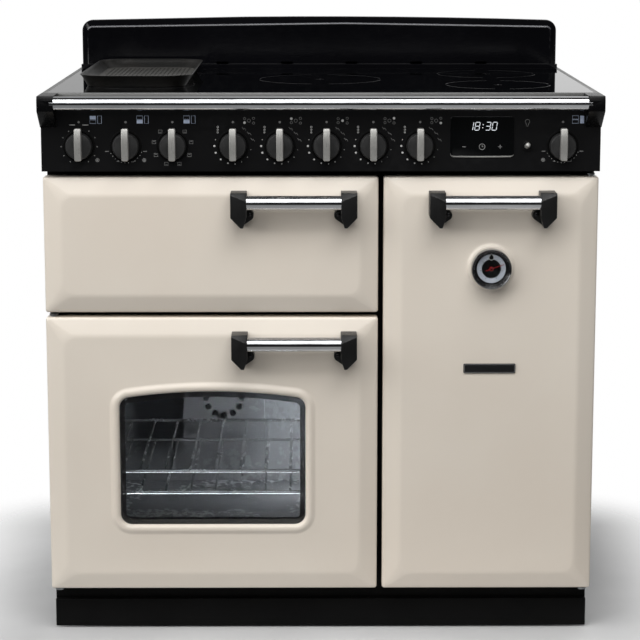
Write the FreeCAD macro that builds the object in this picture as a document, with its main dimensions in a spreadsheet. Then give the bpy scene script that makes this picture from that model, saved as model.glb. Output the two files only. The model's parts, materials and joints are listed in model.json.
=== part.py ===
import FreeCAD, Part
import math
import operator
import os
from types import SimpleNamespace

import Sketcher
from FreeCAD import Placement, Rotation, Vector

# Range cooker. Millimetres, Z up, front towards -Y, X to the viewer's right,
# origin on the floor under the middle of the overall width and depth.

SIZES = {
    # Overall size, and how far handles and rail stand in front of the doors
    "cooker_width": 900,
    "cooker_depth": 648,
    "front_reach": 40,
    # Front stack, from the floor up
    "door_base": 80,
    "oven_door_height": 460,
    "door_gap": 8.5,
    "grill_door_height": 222.5,
    "panel_gap": 10,
    "panel_height": 112,
    "trim_height": 12,
    # Doors: outer skin with a bevelled raised field, inner liner behind it
    "door_inset": 1,
    "left_door_width": 542,
    "door_thickness": 46,
    "frame_gap": 8,
    "skin_depth": 34,
    "skin_sheet": 3,
    "bevel_width": 29,
    "bevel_depth": 10,
    "edge_radius": 4,
    "inner_edge_radius": 2,
    "field_radius": 20,
    "field_wall": 2,
    "liner_slope": 11,
    "liner_sheet": 1.2,
    "liner_radius": 3,
    # Oven window
    "window_side": 118.5,
    "window_base": 113,
    "window_head": 122,
    "window_rise": 12,
    "window_radius": 18,
    "bead_width": 13,
    "bead_height": 6,
    "bead_round": 4.2,
    "pane_margin": 14,
    "pane_sheet": 4,
    # Handles
    "handle_length": 203,
    "handle_drop": 21,
    "handle_margin": 35,
    "handle_bar": 23.5,
    "bar_drop": 16.5,
    "bar_clearance": 0.2,
    "bracket_width": 25,
    "bracket_height": 56,
    "bracket_depth": 26,
    "bracket_inner_side": 36,
    "bracket_outer_side": 42.5,
    "bracket_toe": 10,
    "bracket_toe_width": 5.5,
    "socket_depth": 10,
    "lobe_radius": 13,
    "lobe_drop": 34.5,
    "lobe_root": 4,
    # Hinges
    "hinge_inset": 12,
    "hinge_setback": 22,
    "grill_hinge_lift": 26.5,
    "pin_radius": 4,
    "pin_slack": 0.05,
    "pin_reach": 9,
    "pin_end_gap": 0.5,
    "lug_sheet": 2.5,
    "lug_radius": 7,
    "lug_gap": 2,
    "grill_lug_sheet": 5,
    # Carcass
    "case_inset": 3,
    "case_sheet": 1.2,
    "case_flange": 20,
    "frame_sheet": 3,
    "frame_border": 20,
    "frame_rail": 12,
    "rear_recess": 28,
    "base_height": 50,
    "tray_flange": 25,
    "plinth_setback": 45,
    "plinth_ledge": 49,
    "floor_gap": 3,
    "vent_width": 70,
    "vent_height": 6,
    "vent_pitch": 100,
    "vent_count": 7,
    "vent_drop": 60,
    "restraint_spacing": 600,
    "restraint_radius": 4,
    "restraint_drop": 130,
    # Control panel, knobs and switches
    "panel_sheet": 2.5,
    "knob_inset": 62,
    "knob_group_gap": 22,
    "knob_clock_gap": 48.5,
    "knob_lift": 41,
    "knob_radius": 21.5,
    "knob_depth": 12,
    "knob_gap": 1,
    "knob_edge": 2,
    "knob_edge_depth": 4,
    "grip_width": 11,
    "grip_above": 30,
    "grip_below": 22,
    "grip_depth": 15,
    "grip_root": 1,
    "grip_radius": 2.5,
    "grip_edge": 1.5,
    "spindle_radius": 4,
    "spindle_reach": 20,
    "spindle_clearance": 0.5,
    "spindle_end_gap": 1.5,
    "switch_side": 36,
    "switch_depth": 22,
    "clock_width": 102,
    "clock_height": 62.5,
    "clock_inset": 191.5,
    "clock_lift": 57,
    "clock_proud": 2.5,
    "clock_depth": 25,
    "clock_radius": 4,
    "clock_lip": 4,
    "clock_clearance": 0.3,
    # Light switch: a small lever on a cross pin in a collar
    "toggle_inset": 119,
    "toggle_radius": 4.5,
    "toggle_length": 17,
    "toggle_clearance": 0.5,
    "toggle_band": 1.5,
    "toggle_tail": 4,
    "toggle_tail_radius": 3,
    "toggle_neck": 5,
    "toggle_neck_radius": 2.5,
    "toggle_tip": 3,
    "toggle_tip_radius": 3.9,
    "toggle_dome": 1,
    "toggle_dome_radius": 3.2,
    "toggle_end_radius": 1.5,
    "toggle_pin": 1.2,
    "toggle_pin_length": 13,
    "toggle_pivot": 1,
    "collar_radius": 7.5,
    "collar_height": 4,
    # Hob, splashback and rail
    "hob_setback": 26,
    "trim_width": 8,
    "trim_ledge": 8,
    "glass_sheet": 6,
    "glass_gap": 0.3,
    "glass_radius": 3,
    "splash_depth": 24,
    "splash_height": 89,
    "splash_rise": 7,
    "splash_inset": 5.5,
    "splash_radius": 20,
    "splash_bevel": 12,
    "splash_sheet": 2,
    "ledge_depth": 12,
    "ledge_height": 8.5,
    "slot_count": 6,
    "slot_pitch": 121,
    "slot_width": 22,
    "slot_height": 4,
    "slot_sink": 1,
    "slot_depth": 4,
    "rail_diameter": 22,
    "rail_wall": 1.5,
    "rail_drop": 12,
    "rail_seat": 6,
    "rail_clearance": 0.2,
    "cap_width": 26,
    "cap_height": 53,
    "cap_nose": 6,
    "cap_nose_depth": 3,
    "cap_chin": 1,
    # Coils on their tray under the glass
    "coil_tray_height": 43,
    "coil_tray_overlap": 5,
    "coil_tray_gap": 4,
    "coil_radius": 92,
    "centre_coil_radius": 110,
    "coil_thickness": 12,
    "coil_post": 25,
    "coil_side_gap": 47,
    "coil_end_gap": 40,
    # Griddle
    "griddle_width": 190,
    "griddle_length": 420,
    "griddle_height": 20,
    "griddle_taper": 10,
    "griddle_wall": 5,
    "griddle_floor": 6,
    "griddle_radius": 30,
    "griddle_foot_radius": 22,
    "griddle_inset": 46,
    "griddle_rear_gap": 20,
    "rib_count": 12,
    "rib_pitch": 12,
    "rib_width": 5,
    "rib_height": 3,
    "rib_margin": 14,
    # Ovens and grill
    "left_oven_side": 51,
    "left_oven_head": 70,
    "right_oven_side": 43.75,
    "right_oven_head": 71,
    "oven_lift": 60,
    "oven_rear_room": 104.6,
    "grill_side": 46,
    "grill_lift": 36,
    "grill_head": 36.5,
    "grill_rear_room": 150.6,
    "cavity_sheet": 1.2,
    # Shelf supports and racks
    "shelf_first": 46,
    "shelf_pitch": 37,
    "shelf_head": 50,
    "ladder_front": 22,
    "ladder_rear": 14,
    "post_inset": 40,
    "post_lift": 20,
    "post_radius": 3,
    "bar_radius": 2.5,
    "weld_depth": 0.5,
    "rack_inset": 9.5,
    "rack_front": 16,
    "rack_rear": 12,
    "rack_rim": 3,
    "rack_side": 2.6,
    "rack_wire": 2,
    "left_rack_wires": 9,
    "right_rack_wires": 6,
    "wire_gap": 0.3,
    # Fans, their covers and motors, and the lamps
    "cover_width": 150,
    "cover_height": 220,
    "cover_depth": 30,
    "cover_radius": 12,
    "eye_count": 12,
    "eye_ring": 33,
    "eye_radius": 6,
    "fan_radius": 55,
    "fan_sheet": 2,
    "fan_setback": 6,
    "fan_hub": 12,
    "fan_shaft": 4,
    "shaft_reach": 22,
    "shaft_clearance": 1,
    "shaft_end_gap": 4,
    "blade_count": 12,
    "blade_depth": 15,
    "blade_length": 20,
    "blade_end_gap": 2,
    "motor_radius": 35,
    "motor_depth": 50,
    "lamp_radius": 22,
    "lamp_depth": 14,
    "lamp_inset": 55,
    "lamp_drop": 55,
    # Grill element, pan and runners
    "element_radius": 4,
    "element_side": 50,
    "element_drop": 18,
    "element_front": 30,
    "element_rear": 14,
    "element_tail": 22,
    "element_clearance": 0.4,
    "pan_side": 35,
    "pan_setback": 16,
    "pan_rear_gap": 24,
    "pan_depth": 35,
    "pan_sheet": 2,
    "pan_rim": 12,
    "pan_lip": 6,
    "pan_lift": 78,
    "grid_count": 11,
    "grid_overhang": 4,
    "runner_gap": 5,
    "runner_sheet": 2,
    "runner_height": 20,
    "runner_setback": 4,
    "seal_width": 8,
    "seal_slack": 0.3,
    # Gauge and plate on the right door
    "gauge_lift": 544,
    "gauge_radius": 32.5,
    "gauge_depth": 18,
    "gauge_edge": 2,
    "bezel_width": 3.5,
    "bezel_depth": 3,
    "lens_gap": 0.2,
    "lens_sheet": 2.2,
    "dial_border": 2,
    "dial_depth": 10,
    "pivot_radius": 1.5,
    "pivot_tip": 5,
    "needle_depth": 7.5,
    "needle_hub": 3.5,
    "needle_hub_height": 3,
    "needle_end_gap": 9,
    "needle_root": 1.1,
    "needle_point": 0.4,
    "needle_sheet": 0.8,
    "boss_radius": 36,
    "boss_height": 4,
    "gauge_stem": 12,
    "stem_reach": 20,
    "stem_clearance": 0.5,
    "plate_lift": 377,
    "plate_width": 85,
    "plate_height": 16,
    "plate_sheet": 2,
    "plate_radius": 2,
    # Feet, rollers and the mains terminal
    "foot_radius": 20,
    "foot_height": 8,
    "foot_stud": 5,
    "stud_clearance": 0.3,
    "nut_radius": 9.5,
    "nut_height": 8,
    "foot_inset": 67,
    "foot_setback": 124,
    "roller_radius": 20,
    "roller_width": 24,
    "roller_inset": 67,
    "roller_setback": 41,
    "roller_side_gap": 0.5,
    "axle_radius": 4,
    "fork_sheet": 3,
    "fork_width": 28,
    "fork_drop": 8,
    "terminal_width": 110,
    "terminal_height": 80,
    "terminal_wall": 3,
    "terminal_inset": 197,
    "terminal_lift": 160,
    "terminal_wall_gap": 2,
    "gland_radius": 10,
    # How far a piece is sunk into the one it is fused to, and a cut runs past the face it opens
    "root": 1,
    "overrun": 5,
}

# The knobs from left to right, with the wider step after the third and the clock before the last
KNOBS = (
    "knob_grill", "knob_left_oven", "knob_left_mode", "knob_left_front", "knob_left_rear",
    "knob_centre", "knob_right_rear", "knob_right_front", "knob_right_oven",
)

doc = FreeCAD.newDocument("range_cooker")
sheet = doc.addObject("Spreadsheet::Sheet", "Sizes")
for row, (name, number) in enumerate(SIZES.items(), 1):
    sheet.set(f"A{row}", name)
    sheet.set(f"B{row}", str(number))
    sheet.setAlias(f"B{row}", name)
doc.recompute()

OPERATIONS = {"+": operator.add, "-": operator.sub, "*": operator.mul, "/": operator.truediv}
TURNS = {
    "x": Rotation(Vector(0, 1, 0), 90),
    "y": Rotation(Vector(1, 0, 0), -90),
    "z": Rotation(),
}
NODES = []


class Size:
    # A length that knows its value and the sheet expression it comes from
    def __init__(self, value, text):
        self.value = value
        self.text = text

    def __add__(self, other):
        return joined(self, "+", other)

    def __radd__(self, other):
        return joined(other, "+", self)

    def __sub__(self, other):
        return joined(self, "-", other)

    def __rsub__(self, other):
        return joined(other, "-", self)

    def __mul__(self, other):
        return joined(self, "*", other)

    def __rmul__(self, other):
        return joined(other, "*", self)

    def __truediv__(self, other):
        return joined(self, "/", other)

    def __neg__(self):
        return joined(0, "-", self)


def as_size(thing):
    if isinstance(thing, Size):
        return thing
    return Size(float(thing), f"({float(thing)})")


def joined(left, sign, right):
    first, second = as_size(left), as_size(right)
    value = OPERATIONS[sign](first.value, second.value)
    return Size(value, f"({first.text} {sign} {second.text})")


S = SimpleNamespace(**{name: Size(float(sheet.get(name)), f"Sizes.{name}") for name in SIZES})


# Building helpers

def bind(thing, sizes):
    for prop, size in sizes.items():
        thing.setExpression(prop, as_size(size).text)
    return thing


def moved(thing, x, y, z):
    return bind(thing, {"Placement.Base.x": x, "Placement.Base.y": y, "Placement.Base.z": z})


def span(x0, x1, y0, y1, z0, z1):
    # A block between two values on each axis
    box = doc.addObject("Part::Box", "Block")
    bind(box, {"Length": x1 - x0, "Width": y1 - y0, "Height": z1 - z0})
    return moved(box, x0, y0, z0)


def rod(axis, x, y, z, radius, length):
    # A round bar from a point along one axis
    bar = doc.addObject("Part::Cylinder", "Rod")
    bar.Placement = Placement(Vector(), TURNS[axis])
    bind(bar, {"Radius": radius, "Height": length})
    return moved(bar, x, y, z)


def fuse(*parts):
    if len(parts) == 1:
        return parts[0]
    joint = doc.addObject("Part::MultiFuse", "Fuse")
    joint.Shapes = list(parts)
    return joint


def cut(base, *tools):
    result = doc.addObject("Part::Cut", "Cut")
    result.Base = base
    result.Tool = fuse(*tools)
    return result


def group(*parts):
    bundle = doc.addObject("Part::Compound", "Group")
    bundle.Links = list(parts)
    return bundle


def node(thing, label):
    thing.Label = label
    NODES.append(thing)
    return thing


def pair(sign, low, high):
    # The same stretch of X on the right (1) or on the left (-1)
    return (low, high) if sign > 0 else (-high, -low)


def new_body(name):
    return doc.addObject("PartDesign::Body", name)


def on_plane(body, role, offset=0):
    # A sketch on one of the body's origin planes, moved along its normal
    sketch = body.newObject("Sketcher::SketchObject", "Sketch")
    plane = next(item for item in body.Origin.OriginFeatures if item.Role == role)
    sketch.AttachmentSupport = [(plane, "")]
    sketch.MapMode = "FlatFace"
    bind(sketch, {"AttachmentOffset.Base.z": offset})
    return sketch


def datum(sketch, constraint, size):
    index = sketch.addConstraint(constraint)
    sketch.setExpression(f"Constraints[{index}]", as_size(size).text)


def pin(sketch, geometry, point, x=None, y=None):
    for kind, size in (("DistanceX", x), ("DistanceY", y)):
        if size is not None:
            value = as_size(size).value
            datum(sketch, Sketcher.Constraint(kind, -1, 1, geometry, point, value), size)


def spot(x, y):
    return Vector(as_size(x).value, as_size(y).value, 0)


def outline(sketch, points):
    # A closed outline of straight lines with every corner held by a size
    count = len(points)
    for i in range(count):
        sketch.addGeometry(Part.LineSegment(spot(*points[i]), spot(*points[(i + 1) % count])))
    for i in range(count):
        sketch.addConstraint(Sketcher.Constraint("Coincident", i, 2, (i + 1) % count, 1))
    for i, (x, y) in enumerate(points):
        pin(sketch, i, 1, x, y)
    return sketch


def rounded(sketch, x0, x1, y0, y1, radius):
    # A rectangle with four equal round corners
    left, right, low, high, r = (as_size(size).value for size in (x0, x1, y0, y1, radius))
    sides = (
        ((left + r, low), (right - r, low)),
        ((right, low + r), (right, high - r)),
        ((right - r, high), (left + r, high)),
        ((left, high - r), (left, low + r)),
    )
    centres = ((right - r, low + r), (right - r, high - r), (left + r, high - r), (left + r, low + r))
    for i in range(4):
        start, end = sides[i]
        sketch.addGeometry(Part.LineSegment(spot(*start), spot(*end)))
        circle = Part.Circle(spot(*centres[i]), Vector(0, 0, 1), r)
        turn = math.radians(90 * i - 90)
        sketch.addGeometry(Part.ArcOfCircle(circle, turn, turn + math.pi / 2))
    for i in range(4):
        sketch.addConstraint(Sketcher.Constraint("Tangent", 2 * i, 2, 2 * i + 1, 1))
        sketch.addConstraint(Sketcher.Constraint("Tangent", 2 * i + 1, 2, (2 * i + 2) % 8, 1))
    for i, kind in enumerate(("Horizontal", "Vertical", "Horizontal", "Vertical")):
        sketch.addConstraint(Sketcher.Constraint(kind, 2 * i))
    for i in (3, 5, 7):
        sketch.addConstraint(Sketcher.Constraint("Equal", 1, i))
    pin(sketch, 6, 1, x=x0)
    pin(sketch, 2, 1, x=x1)
    pin(sketch, 0, 1, y=y0)
    pin(sketch, 4, 1, y=y1)
    datum(sketch, Sketcher.Constraint("Radius", 1, r), radius)
    return sketch


def circle(sketch, x, y, radius):
    sketch.addGeometry(Part.Circle(spot(x, y), Vector(0, 0, 1), as_size(radius).value))
    pin(sketch, 0, 3, x, y)
    datum(sketch, Sketcher.Constraint("Radius", 0, as_size(radius).value), radius)
    return sketch


def crowned(sketch, x0, x1, y0, y1, rise):
    # A rectangle whose upper side is an arc that rises in the middle
    half = (x1 - x0) / 2
    radius = (half * half + rise * rise) / (2 * rise)
    corners = ((x0, y1), (x0, y0), (x1, y0), (x1, y1))
    for i in range(3):
        sketch.addGeometry(Part.LineSegment(spot(*corners[i]), spot(*corners[i + 1])))
    middle = spot((x0 + x1) / 2, y1 + rise)
    sketch.addGeometry(Part.Arc(spot(x1, y1), middle, spot(x0, y1)))
    for i in range(2):
        sketch.addConstraint(Sketcher.Constraint("Coincident", i, 2, i + 1, 1))
    sketch.addConstraint(Sketcher.Constraint("Coincident", 2, 2, 3, 1))
    sketch.addConstraint(Sketcher.Constraint("Coincident", 3, 2, 0, 1))
    for i, (x, y) in enumerate(corners[:3]):
        pin(sketch, i, 1, x, y)
    pin(sketch, 2, 2, x1, y1)
    datum(sketch, Sketcher.Constraint("Radius", 3, radius.value), radius)
    return sketch


def feature(body, kind, sketch, sizes, **options):
    item = body.newObject(f"PartDesign::{kind}", kind)
    item.Profile = sketch
    bind(item, sizes)
    for prop, value in options.items():
        setattr(item, prop, value)
    body.Tip = item
    return item


def pad(body, sketch, length, back=False):
    return feature(body, "Pad", sketch, {"Length": length}, Reversed=back)


def pocket(body, sketch, depth, back=False):
    return feature(body, "Pocket", sketch, {"Length": depth}, Reversed=back)


def loft(body, first, second):
    return feature(body, "AdditiveLoft", first, {}, Sections=[second], Ruled=True)


def hollow(body, first, second):
    return feature(body, "SubtractiveLoft", first, {}, Sections=[second], Ruled=True)


def spin(body, points):
    # A turned shape about the body's own Y axis, from (radius, y) corners
    sketch = outline(on_plane(body, "XY_Plane"), points)
    return feature(body, "Revolution", sketch, {}, ReferenceAxis=(sketch, ["V_Axis"]), Angle=360)


def edge_names(item, wanted):
    doc.recompute()
    return [f"Edge{i}" for i, edge in enumerate(item.Shape.Edges, 1) if wanted(edge)]


def rounding(body, item, radius, wanted):
    names = edge_names(item, wanted)
    fillet = body.newObject("PartDesign::Fillet", "Fillet")
    fillet.Base = (item, names)
    bind(fillet, {"Radius": radius})
    body.Tip = fillet
    return fillet


def along_y(edge):
    start, end = edge.Vertexes[0].Point, edge.Vertexes[-1].Point
    return abs(start.x - end.x) + abs(start.z - end.z) < 1e-6 and abs(start.y - end.y) > 1e-6


def at_y(level):
    value = as_size(level).value
    return lambda edge: all(abs(corner.Y - value) < 1e-6 for corner in edge.Vertexes)


# Main planes and heights

half_width = S.cooker_width / 2
back_y = S.cooker_depth / 2
front_y = -back_y
face_y = front_y + S.front_reach
bevel_y = face_y + S.bevel_depth
skin_back_y = face_y + S.skin_depth
door_back_y = face_y + S.door_thickness
frame_y = door_back_y + S.frame_gap
inner_y = frame_y + S.frame_sheet
rear_y = back_y - S.rear_recess

oven_door_z = S.door_base
oven_door_top = oven_door_z + S.oven_door_height
grill_door_z = oven_door_top + S.door_gap
door_top = grill_door_z + S.grill_door_height
panel_z = door_top + S.panel_gap
panel_top = panel_z + S.panel_height
hob_z = panel_top + S.trim_height
knob_z = panel_z + S.knob_lift

door_left = S.door_inset - half_width
left_door_end = door_left + S.left_door_width
right_door_start = left_door_end + S.door_gap
door_right = half_width - S.door_inset
left_mid = (door_left + left_door_end) / 2
right_mid = (right_door_start + door_right) / 2
hinge_y = face_y + S.hinge_setback
left_hinge_x = door_left + S.hinge_inset
right_hinge_x = door_right - S.hinge_inset
grill_hinge_z = grill_door_z + S.grill_hinge_lift
bore_radius = S.pin_radius + S.pin_slack
over = S.overrun

case_x = half_width - S.case_inset
case_in = case_x - S.case_sheet
inside_y = rear_y - S.case_sheet
oven_z = oven_door_z + S.oven_lift
oven_back_y = inside_y - S.oven_rear_room - S.cavity_sheet
left_half = S.left_door_width / 2 - S.left_oven_side
right_half = (door_right - right_door_start) / 2 - S.right_oven_side
left_height = S.oven_door_height - S.oven_lift - S.left_oven_head
right_height = door_top - oven_z - S.right_oven_head

grill_half = S.left_door_width / 2 - S.grill_side
grill_z = grill_door_z + S.grill_lift
grill_top = door_top - S.grill_head
grill_back_y = inside_y - S.grill_rear_room - S.cavity_sheet

OVENS = {
    "left": SimpleNamespace(mid=left_mid, half=left_half, height=left_height, racks=(1, 2),
                            wires=S.left_rack_wires, lamp_x=left_half - S.lamp_inset),
    "right": SimpleNamespace(mid=right_mid, half=right_half, height=right_height, racks=(3, 8),
                             wires=S.right_rack_wires, lamp_x=as_size(0)),
}


# Carcass

def side_panel(sign):
    body = new_body("SidePanel")
    flange_x = case_x - S.case_flange
    corners = (
        (flange_x, inner_y),
        (case_x, inner_y),
        (case_x, back_y),
        (flange_x, back_y),
        (flange_x, back_y - S.case_sheet),
        (case_in, back_y - S.case_sheet),
        (case_in, inner_y + S.case_sheet),
        (flange_x, inner_y + S.case_sheet),
    )
    sketch = on_plane(body, "XY_Plane", S.base_height)
    outline(sketch, [(sign * x, y) for x, y in corners])
    pad(body, sketch, panel_top - S.base_height)
    return body


node(group(side_panel(-1), side_panel(1)), "side_panels")


def back_panel():
    body = new_body("BackPanel")
    low = S.base_height + S.case_sheet
    plate = outline(on_plane(body, "XZ_Plane", -rear_y),
                    ((-case_in, low), (case_in, low), (case_in, panel_top), (-case_in, panel_top)))
    pad(body, plate, S.case_sheet)
    first = -S.vent_pitch * (S.vent_count - 1) / 2
    vent_z = panel_top - S.vent_drop
    x0, x1 = first - S.vent_width / 2, first + S.vent_width / 2
    slot = outline(on_plane(body, "XZ_Plane", -rear_y), (
        (x0, vent_z), (x1, vent_z), (x1, vent_z + S.vent_height), (x0, vent_z + S.vent_height)))
    vent = pocket(body, slot, S.case_sheet, back=True)
    row = body.newObject("PartDesign::LinearPattern", "Vents")
    row.Originals = [vent]
    row.Direction = (slot, ["H_Axis"])
    bind(row, {"Length": S.vent_pitch * (S.vent_count - 1), "Occurrences": S.vent_count})
    body.Tip = row
    return body


restraint_z = panel_top - S.restraint_drop
restraint_holes = [rod("y", sign * S.restraint_spacing / 2, inside_y - over, restraint_z, S.restraint_radius,
                       S.case_sheet + 2 * over) for sign in (-1, 1)]
node(cut(back_panel(), *restraint_holes), "back_panel")


roller_x, roller_y = case_x - S.roller_inset, rear_y - S.roller_setback
foot_x, foot_y = case_x - S.foot_inset, face_y + S.foot_setback


def roller_fork(sign):
    # Two cheeks and the fixed axle of one rear roller
    mid = sign * roller_x
    inner = S.roller_width / 2 + S.roller_side_gap
    outer = inner + S.fork_sheet
    half = S.fork_width / 2
    low, high = S.roller_radius - S.fork_drop, S.base_height + S.case_sheet
    cheeks = [span(mid + start, mid + end, roller_y - half, roller_y + half, low, high)
              for start, end in ((-outer, -inner), (inner, outer))]
    axle = rod("x", mid - outer, roller_y, S.roller_radius, S.axle_radius, outer * 2)
    return cheeks + [axle]


def base_tray():
    body = new_body("BaseTray")
    low, top, t = S.base_height, S.base_height + S.tray_flange, S.case_sheet
    start_y = inner_y + t
    sketch = on_plane(body, "YZ_Plane", -case_in)
    outline(sketch, (
        (start_y, low), (inside_y, low), (inside_y, top), (inside_y - t, top), (inside_y - t, low + t),
        (start_y + t, low + t), (start_y + t, top), (start_y, top)))
    pad(body, sketch, case_in * 2)
    return body


forks = roller_fork(-1) + roller_fork(1)
stud_holes = [rod("z", sign * foot_x, foot_y, S.base_height - over, S.foot_stud + S.stud_clearance,
                  S.case_sheet + 2 * over) for sign in (-1, 1)]
node(cut(fuse(base_tray(), *forks), *stud_holes), "base_tray")

plinth_y = face_y + S.plinth_setback
plinth = new_body("Plinth")
outline(on_plane(plinth, "YZ_Plane", -case_x), (
    (plinth_y, S.floor_gap), (plinth_y + S.case_sheet, S.floor_gap),
    (plinth_y + S.case_sheet, S.base_height - S.case_sheet),
    (plinth_y + S.plinth_ledge, S.base_height - S.case_sheet),
    (plinth_y + S.plinth_ledge, S.base_height), (plinth_y, S.base_height)))
pad(plinth, plinth.Group[-1], case_x * 2)
node(plinth, "plinth")


def foot(sign):
    x = sign * foot_x
    disc = rod("z", x, foot_y, 0, S.foot_radius, S.foot_height)
    stud = rod("z", x, foot_y, 0, S.foot_stud, S.base_height + S.tray_flange)
    nut = doc.addObject("Part::Prism", "Nut")
    nut.Polygon = 6
    bind(nut, {"Circumradius": S.nut_radius, "Height": S.nut_height})
    moved(nut, x, foot_y, S.base_height - S.nut_height)
    return fuse(disc, stud, nut)


node(group(foot(-1), foot(1)), "front_feet")

for side, sign in (("left", -1), ("right", 1)):
    x = sign * roller_x
    tyre = rod("x", x - S.roller_width / 2, roller_y, S.roller_radius, S.roller_radius, S.roller_width)
    bore = rod("x", x - S.roller_width, roller_y, S.roller_radius, S.axle_radius + S.pin_slack,
               S.roller_width * 2)
    node(cut(tyre, bore), f"rear_roller_{side}")


# Front frame, strips welded round the openings of the ovens, the grill and the control panel
def frame_strip(x0, x1, z0, z1):
    return span(x0, x1, frame_y, inner_y, z0, z1)


left_oven, right_oven = OVENS["left"], OVENS["right"]
left_x0, left_x1 = left_oven.mid - left_oven.half, left_oven.mid + left_oven.half
right_x0, right_x1 = right_oven.mid - right_oven.half, right_oven.mid + right_oven.half
grill_x0, grill_x1 = left_mid - grill_half, left_mid + grill_half
left_top, right_top = oven_z + left_oven.height, oven_z + right_oven.height
panel_gap_x = half_width - S.frame_border
panel_gap_z0, panel_gap_z1 = panel_z + S.frame_rail, panel_top - S.frame_rail
node(group(
    frame_strip(-case_x, case_x, S.base_height, oven_z),
    frame_strip(-case_x, left_x0, oven_z, left_top),
    frame_strip(left_x1, right_x0, oven_z, left_top),
    frame_strip(-case_x, right_x0, left_top, grill_z),
    frame_strip(-case_x, grill_x0, grill_z, grill_top),
    frame_strip(grill_x1, right_x0, grill_z, grill_top),
    frame_strip(right_x0, right_x1, right_top, grill_top),
    frame_strip(right_x1, case_x, oven_z, grill_top),
    frame_strip(-case_x, case_x, grill_top, panel_gap_z0),
    frame_strip(-case_x, -panel_gap_x, panel_gap_z0, panel_gap_z1),
    frame_strip(panel_gap_x, case_x, panel_gap_z0, panel_gap_z1),
    frame_strip(-case_x, case_x, panel_gap_z1, panel_top)), "front_frame")

# Mains terminal box on the back, with the gland hole in its underside
terminal_x = S.terminal_inset - case_x
box_x0, box_x1 = terminal_x - S.terminal_width / 2, terminal_x + S.terminal_width / 2
box_z0, box_z1 = S.terminal_lift - S.terminal_height / 2, S.terminal_lift + S.terminal_height / 2
box_y1, wall = back_y - S.terminal_wall_gap, S.terminal_wall
terminal = cut(
    span(box_x0, box_x1, rear_y, box_y1, box_z0, box_z1),
    span(box_x0 + wall, box_x1 - wall, rear_y - over, box_y1 - wall, box_z0 + wall, box_z1 - wall),
    rod("z", terminal_x, (rear_y + box_y1) / 2, box_z0 - over, S.gland_radius, wall + 2 * over))
node(terminal, "terminal_box")


# Control panel with its switches, clock and knobs

clock_x, clock_z = half_width - S.clock_inset, panel_z + S.clock_lift
clock_x0, clock_x1 = clock_x - S.clock_width / 2, clock_x + S.clock_width / 2
clock_z0, clock_z1 = clock_z - S.clock_height / 2, clock_z + S.clock_height / 2
first_knob = S.knob_inset - half_width
knob_pitch = (clock_x0 - S.knob_clock_gap - first_knob - S.knob_group_gap) / (len(KNOBS) - 2)
knob_xs = {}
for place, name in enumerate(KNOBS[:-1]):
    start = first_knob if place < 3 else first_knob + S.knob_group_gap
    knob_xs[name] = start + knob_pitch * place
knob_xs[KNOBS[-1]] = half_width - S.knob_inset
toggle_x, toggle_y = half_width - S.toggle_inset, face_y - S.toggle_pivot
panel_shell = cut(
    span(door_left, door_right, face_y, frame_y, panel_z, panel_top),
    span(door_left + S.panel_sheet, door_right - S.panel_sheet, face_y + S.panel_sheet, frame_y + over,
         panel_z + S.panel_sheet, panel_top - S.panel_sheet))
collar = rod("y", toggle_x, face_y - S.collar_height, knob_z, S.collar_radius, S.collar_height + S.root)
through = S.panel_sheet + 2 * over
lip = S.clock_lip
panel_holes = [rod("y", x, face_y - over, knob_z, S.spindle_radius + S.spindle_clearance, through)
               for x in knob_xs.values()]
panel_holes.append(rod("y", toggle_x, face_y - S.collar_height - over, knob_z,
                       S.toggle_radius + S.toggle_clearance, S.collar_height + through))
panel_holes.append(rod("x", toggle_x - S.toggle_pin_length / 2 - S.pin_slack, toggle_y, knob_z,
                       S.toggle_pin + S.pin_slack, S.toggle_pin_length + 2 * S.pin_slack))
panel_holes.append(span(clock_x0 + lip, clock_x1 - lip, face_y - over, face_y + S.panel_sheet + over,
                        clock_z0 + lip, clock_z1 - lip))
node(cut(fuse(panel_shell, collar), *panel_holes), "control_panel")

clock = new_body("Clock")
clock_front = rounded(on_plane(clock, "XZ_Plane", -face_y), clock_x0, clock_x1, clock_z0, clock_z1,
                      S.clock_radius)
pad(clock, clock_front, S.clock_proud)
inset = lip + S.clock_clearance
clock_rear = outline(on_plane(clock, "XZ_Plane", -face_y), (
    (clock_x0 + inset, clock_z0 + inset), (clock_x1 - inset, clock_z0 + inset),
    (clock_x1 - inset, clock_z1 - inset), (clock_x0 + inset, clock_z1 - inset)))
pad(clock, clock_rear, S.clock_depth, back=True)
node(clock, "clock_module")


def rotary_switch(x):
    y0 = face_y + S.panel_sheet
    half = S.switch_side / 2
    return cut(span(x - half, x + half, y0, y0 + S.switch_depth, knob_z - half, knob_z + half),
               rod("y", x, y0 - over, knob_z, S.spindle_radius + S.pin_slack,
                   S.spindle_reach - S.panel_sheet + S.spindle_end_gap + over))


node(group(*[rotary_switch(x) for x in knob_xs.values()]), "rotary_switches")


def knob(name, x):
    body = new_body("Knob")
    near, far = -S.knob_gap, -S.knob_gap - S.knob_depth
    spin(body, (
        (0, S.spindle_reach), (S.spindle_radius, S.spindle_reach), (S.spindle_radius, near),
        (S.knob_radius, near), (S.knob_radius, far + S.knob_edge_depth), (S.knob_radius - S.knob_edge, far),
        (0, far)))
    grip = rounded(on_plane(body, "XZ_Plane", -far - S.grip_root), -S.grip_width / 2, S.grip_width / 2,
                   -S.grip_below, S.grip_above, S.grip_radius)
    bar = pad(body, grip, S.grip_depth)
    rounding(body, bar, S.grip_edge, at_y(far + S.grip_root - S.grip_depth))
    moved(body, x, face_y, knob_z)
    return node(body, name)


for name, x in knob_xs.items():
    knob(name, x)

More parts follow.
